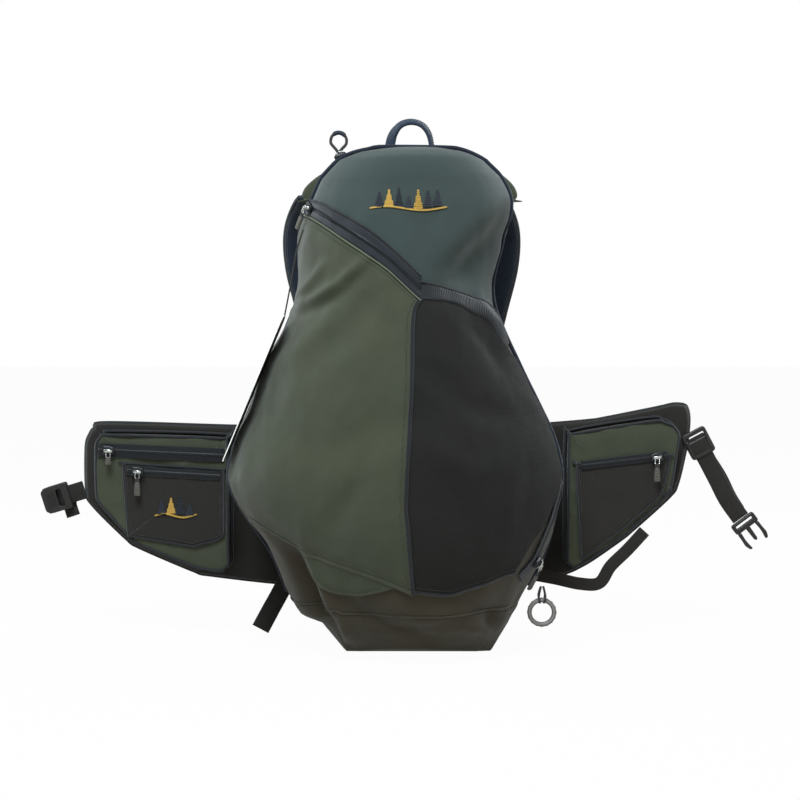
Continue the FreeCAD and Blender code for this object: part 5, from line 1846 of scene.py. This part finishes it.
    def build_tag(self) -> None:
        """Hang tag with its eyelet, and the string that holds it."""
        shop = self.shop
        lean = Matrix.Rotation(math.radians(self.tag_lean), 4, "Y")
        lean.translation = Vector((-115.5, -52, 349)) * MM
        flat = lean @ Matrix.Rotation(math.radians(90), 4, "Z")
        half, far = self.tag_half, -self.tag_length
        outline = rounded([(-half, far), (half, far), (half, -6), (15, 0), (-15, 0), (-half, -6)], 3)
        eye_z = -self.eye_drop * MM
        hole = [(2.4 * MM * math.cos(a), eye_z + 2.4 * MM * math.sin(a))
                for a in np.linspace(0, math.tau, 20, endpoint=False)]
        card = plate("hang_tag_card", [outline, hole], 1.0 * MM, 0.15 * MM, flat)
        shop.mount(card, "tag_card", "tag", ["hang_tag"], "tag_card")
        edge = [flat @ Vector((x, 0, z)) for x, z in outline]
        shop.mount(tube("hang_tag_edge", edge, 0.62 * MM, closed=True), "tag_edge", "tag")
        eye = [flat @ Vector((3.0 * MM * math.cos(a), 0, eye_z + 3.0 * MM * math.sin(a)))
               for a in np.linspace(0, math.tau, 24, endpoint=False)]
        eyelet = tube("hang_tag_eyelet", eye, 0.9 * MM, closed=True)
        shop.mount(eyelet, "bright_metal", "tag")
        route = [(-95.6, -54.6, 436.0), (-101.6, -54.4, 420.0), (-105.0, -53.6, 400), (-109.6, -52.6, 376),
                 (-114.9, -52.0, 349.9)]
        curve = bpy.data.curves.new("tag_string_cord", "CURVE")
        curve.dimensions = "3D"
        curve.bevel_depth = 0.8 * MM
        curve.bevel_resolution = 4
        spline = curve.splines.new("NURBS")
        spline.points.add(len(route) - 1)
        for point, place in zip(spline.points, route):
            point.co = (*(value * MM for value in place), 1)
        spline.order_u = 3
        spline.use_endpoint_u = True
        spline.resolution_u = 16
        string = bpy.data.objects.new("tag_string_cord", curve)
        bpy.context.scene.collection.objects.link(string)
        string.data.materials.append(shop.finishes.made["cord"])
        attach(string, "tag")
        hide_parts("tag_string")
        tuple(value * MM for value in route[0])


@dataclass
class Studio:
    """Camera, lights, floor and world."""

    distance: float = 1.7
    elevation: float = 4.0
    lens: float = 72.86
    target: Vector = field(default_factory=lambda: Vector((0.0021, 0, 0.2604)))
    floor_reach: float = 6
    floor_glow: float = 0.97

    def build(self) -> None:
        """Set the scene up."""
        scene = bpy.context.scene
        scene.view_settings.view_transform = "Standard"
        data = bpy.data.cameras.new("camera")
        data.sensor_width = 36
        data.lens = self.lens
        camera = bpy.data.objects.new("camera", data)
        rise = math.radians(self.elevation)
        camera.location = self.target + self.distance * Vector((0, -math.cos(rise), math.sin(rise)))
        camera.rotation_euler = (math.pi / 2 - rise, 0, 0)
        scene.collection.objects.link(camera)
        scene.camera = camera
        for name, place, size, power, colour in (
                ("key", (-0.35, -1.2, 2.1), 1.0, 72, (0.84, 0.95, 1.0)),
                ("fill", (1.2, -1.3, 0.8), 1.6, 5, (1.0, 0.97, 0.93)),
                ("low", (0.0, -1.4, 0.1), 1.4, 0.8, (1.0, 0.88, 0.72)),
                ("rim_left", (-1.3, 0.5, 0.9), 1.0, 10, (0.95, 0.98, 1.0)),
                ("rim_right", (1.3, 0.5, 0.9), 1.0, 10, (0.95, 0.98, 1.0))):
            self.lamp(name, Vector(place), size, power, colour)
        self.world()
        self.floor()

    def lamp(self, name: str, place: Vector, size: float, power: float, colour: Sequence[float]) -> None:
        """Add a square area light that faces the pack."""
        data = bpy.data.lights.new(name, "AREA")
        data.energy, data.size, data.color = power, size, colour
        light = bpy.data.objects.new(name, data)
        light.location = place
        light.rotation_euler = (Vector((0, 0, 0.25)) - place).to_track_quat("-Z", "Y").to_euler()
        bpy.context.scene.collection.objects.link(light)

    def world(self) -> None:
        """White behind the pack for the camera, softer for the light that falls on it."""
        world = bpy.data.worlds.new("world")
        bpy.context.scene.world = world
        world.use_nodes = True
        nodes = world.node_tree.nodes
        soft = nodes["Background"]
        soft.inputs["Color"].default_value = (0.93, 0.96, 1.0, 1)
        soft.inputs["Strength"].default_value = 0.20
        white = nodes.new("ShaderNodeBackground")
        white.inputs["Color"].default_value = (1, 1, 1, 1)
        self.split_rays(world.node_tree, soft, white, nodes["World Output"], 1.0)

    @staticmethod
    def split_rays(tree: bpy.types.NodeTree, lit: bpy.types.Node, seen: bpy.types.Node, end: bpy.types.Node,
                   share: float) -> None:
        """Show the camera one shader and the light paths another.

        Args:
            tree: Node tree that holds the shaders.
            lit: Shader for every ray but the camera's own.
            seen: Shader for the camera's rays.
            end: Output node.
            share: How much of the second shader the camera sees.
        """
        mix = tree.nodes.new("ShaderNodeMixShader")
        path = tree.nodes.new("ShaderNodeLightPath")
        part = tree.nodes.new("ShaderNodeMath")
        part.operation = "MULTIPLY"
        part.inputs[1].default_value = share
        tree.links.new(path.outputs["Is Camera Ray"], part.inputs[0])
        tree.links.new(part.outputs[0], mix.inputs["Fac"])
        tree.links.new(lit.outputs[0], mix.inputs[1])
        tree.links.new(seen.outputs[0], mix.inputs[2])
        tree.links.new(mix.outputs[0], end.inputs["Surface"])

    def floor(self) -> None:
        """Near-white floor that keeps the pack's contact shadow."""
        corners = [(0, 0), (1, 0), (1, 1), (0, 1)]
        places = [Vector((2 * x - 1, 2 * y - 1, 0)) * self.floor_reach for x, y in corners]
        piece = new_piece("floor", places, [(0, 1, 2, 3)], corners)
        material = bpy.data.materials.new("floor")
        material.use_nodes = True
        nodes = material.node_tree.nodes
        shader = nodes["Principled BSDF"]
        shader.inputs["Base Color"].default_value = (0.55, 0.53, 0.50, 1)
        shader.inputs["Roughness"].default_value = 0.9
        shader.inputs["Specular IOR Level"].default_value = 0.0
        glow = nodes.new("ShaderNodeEmission")
        glow.inputs["Strength"].default_value = 1.0
        self.split_rays(material.node_tree, shader, glow, nodes["Material Output"], self.floor_glow)
        piece.data.materials.append(material)


def main() -> None:
    """Build the pack and its setting."""
    logging.basicConfig(level=logging.INFO)
    shop = Workshop()
    for part in (Bag(shop), FrontWork(shop), Handle(shop), Harness(shop), Belt(shop), Trim(shop)):
        part.build()
        LOG.info("built %s", type(part).__name__)
    form = shop.form
    upper = Emblem("upper_emblem", (0.0104, 0.468), 0.068, 0.020, ("gold_thread", "navy_thread"))
    upper.build(shop, "pack", lambda x, z, lift: form.place(x, z, lift + 0.0004), form.outward)
    wing = Emblem("wing_emblem", (-0.238, 0.146), 0.040, 0.020, ("gold_thread", "navy_thread"), trees=4)
    wing.build(shop, "left_hip", lambda x, z, lift: Vector((x, 0.0260 - lift, z)), lambda x, z: TO_FRONT)
    Studio().build()


if __name__ == "__main__":
    main()
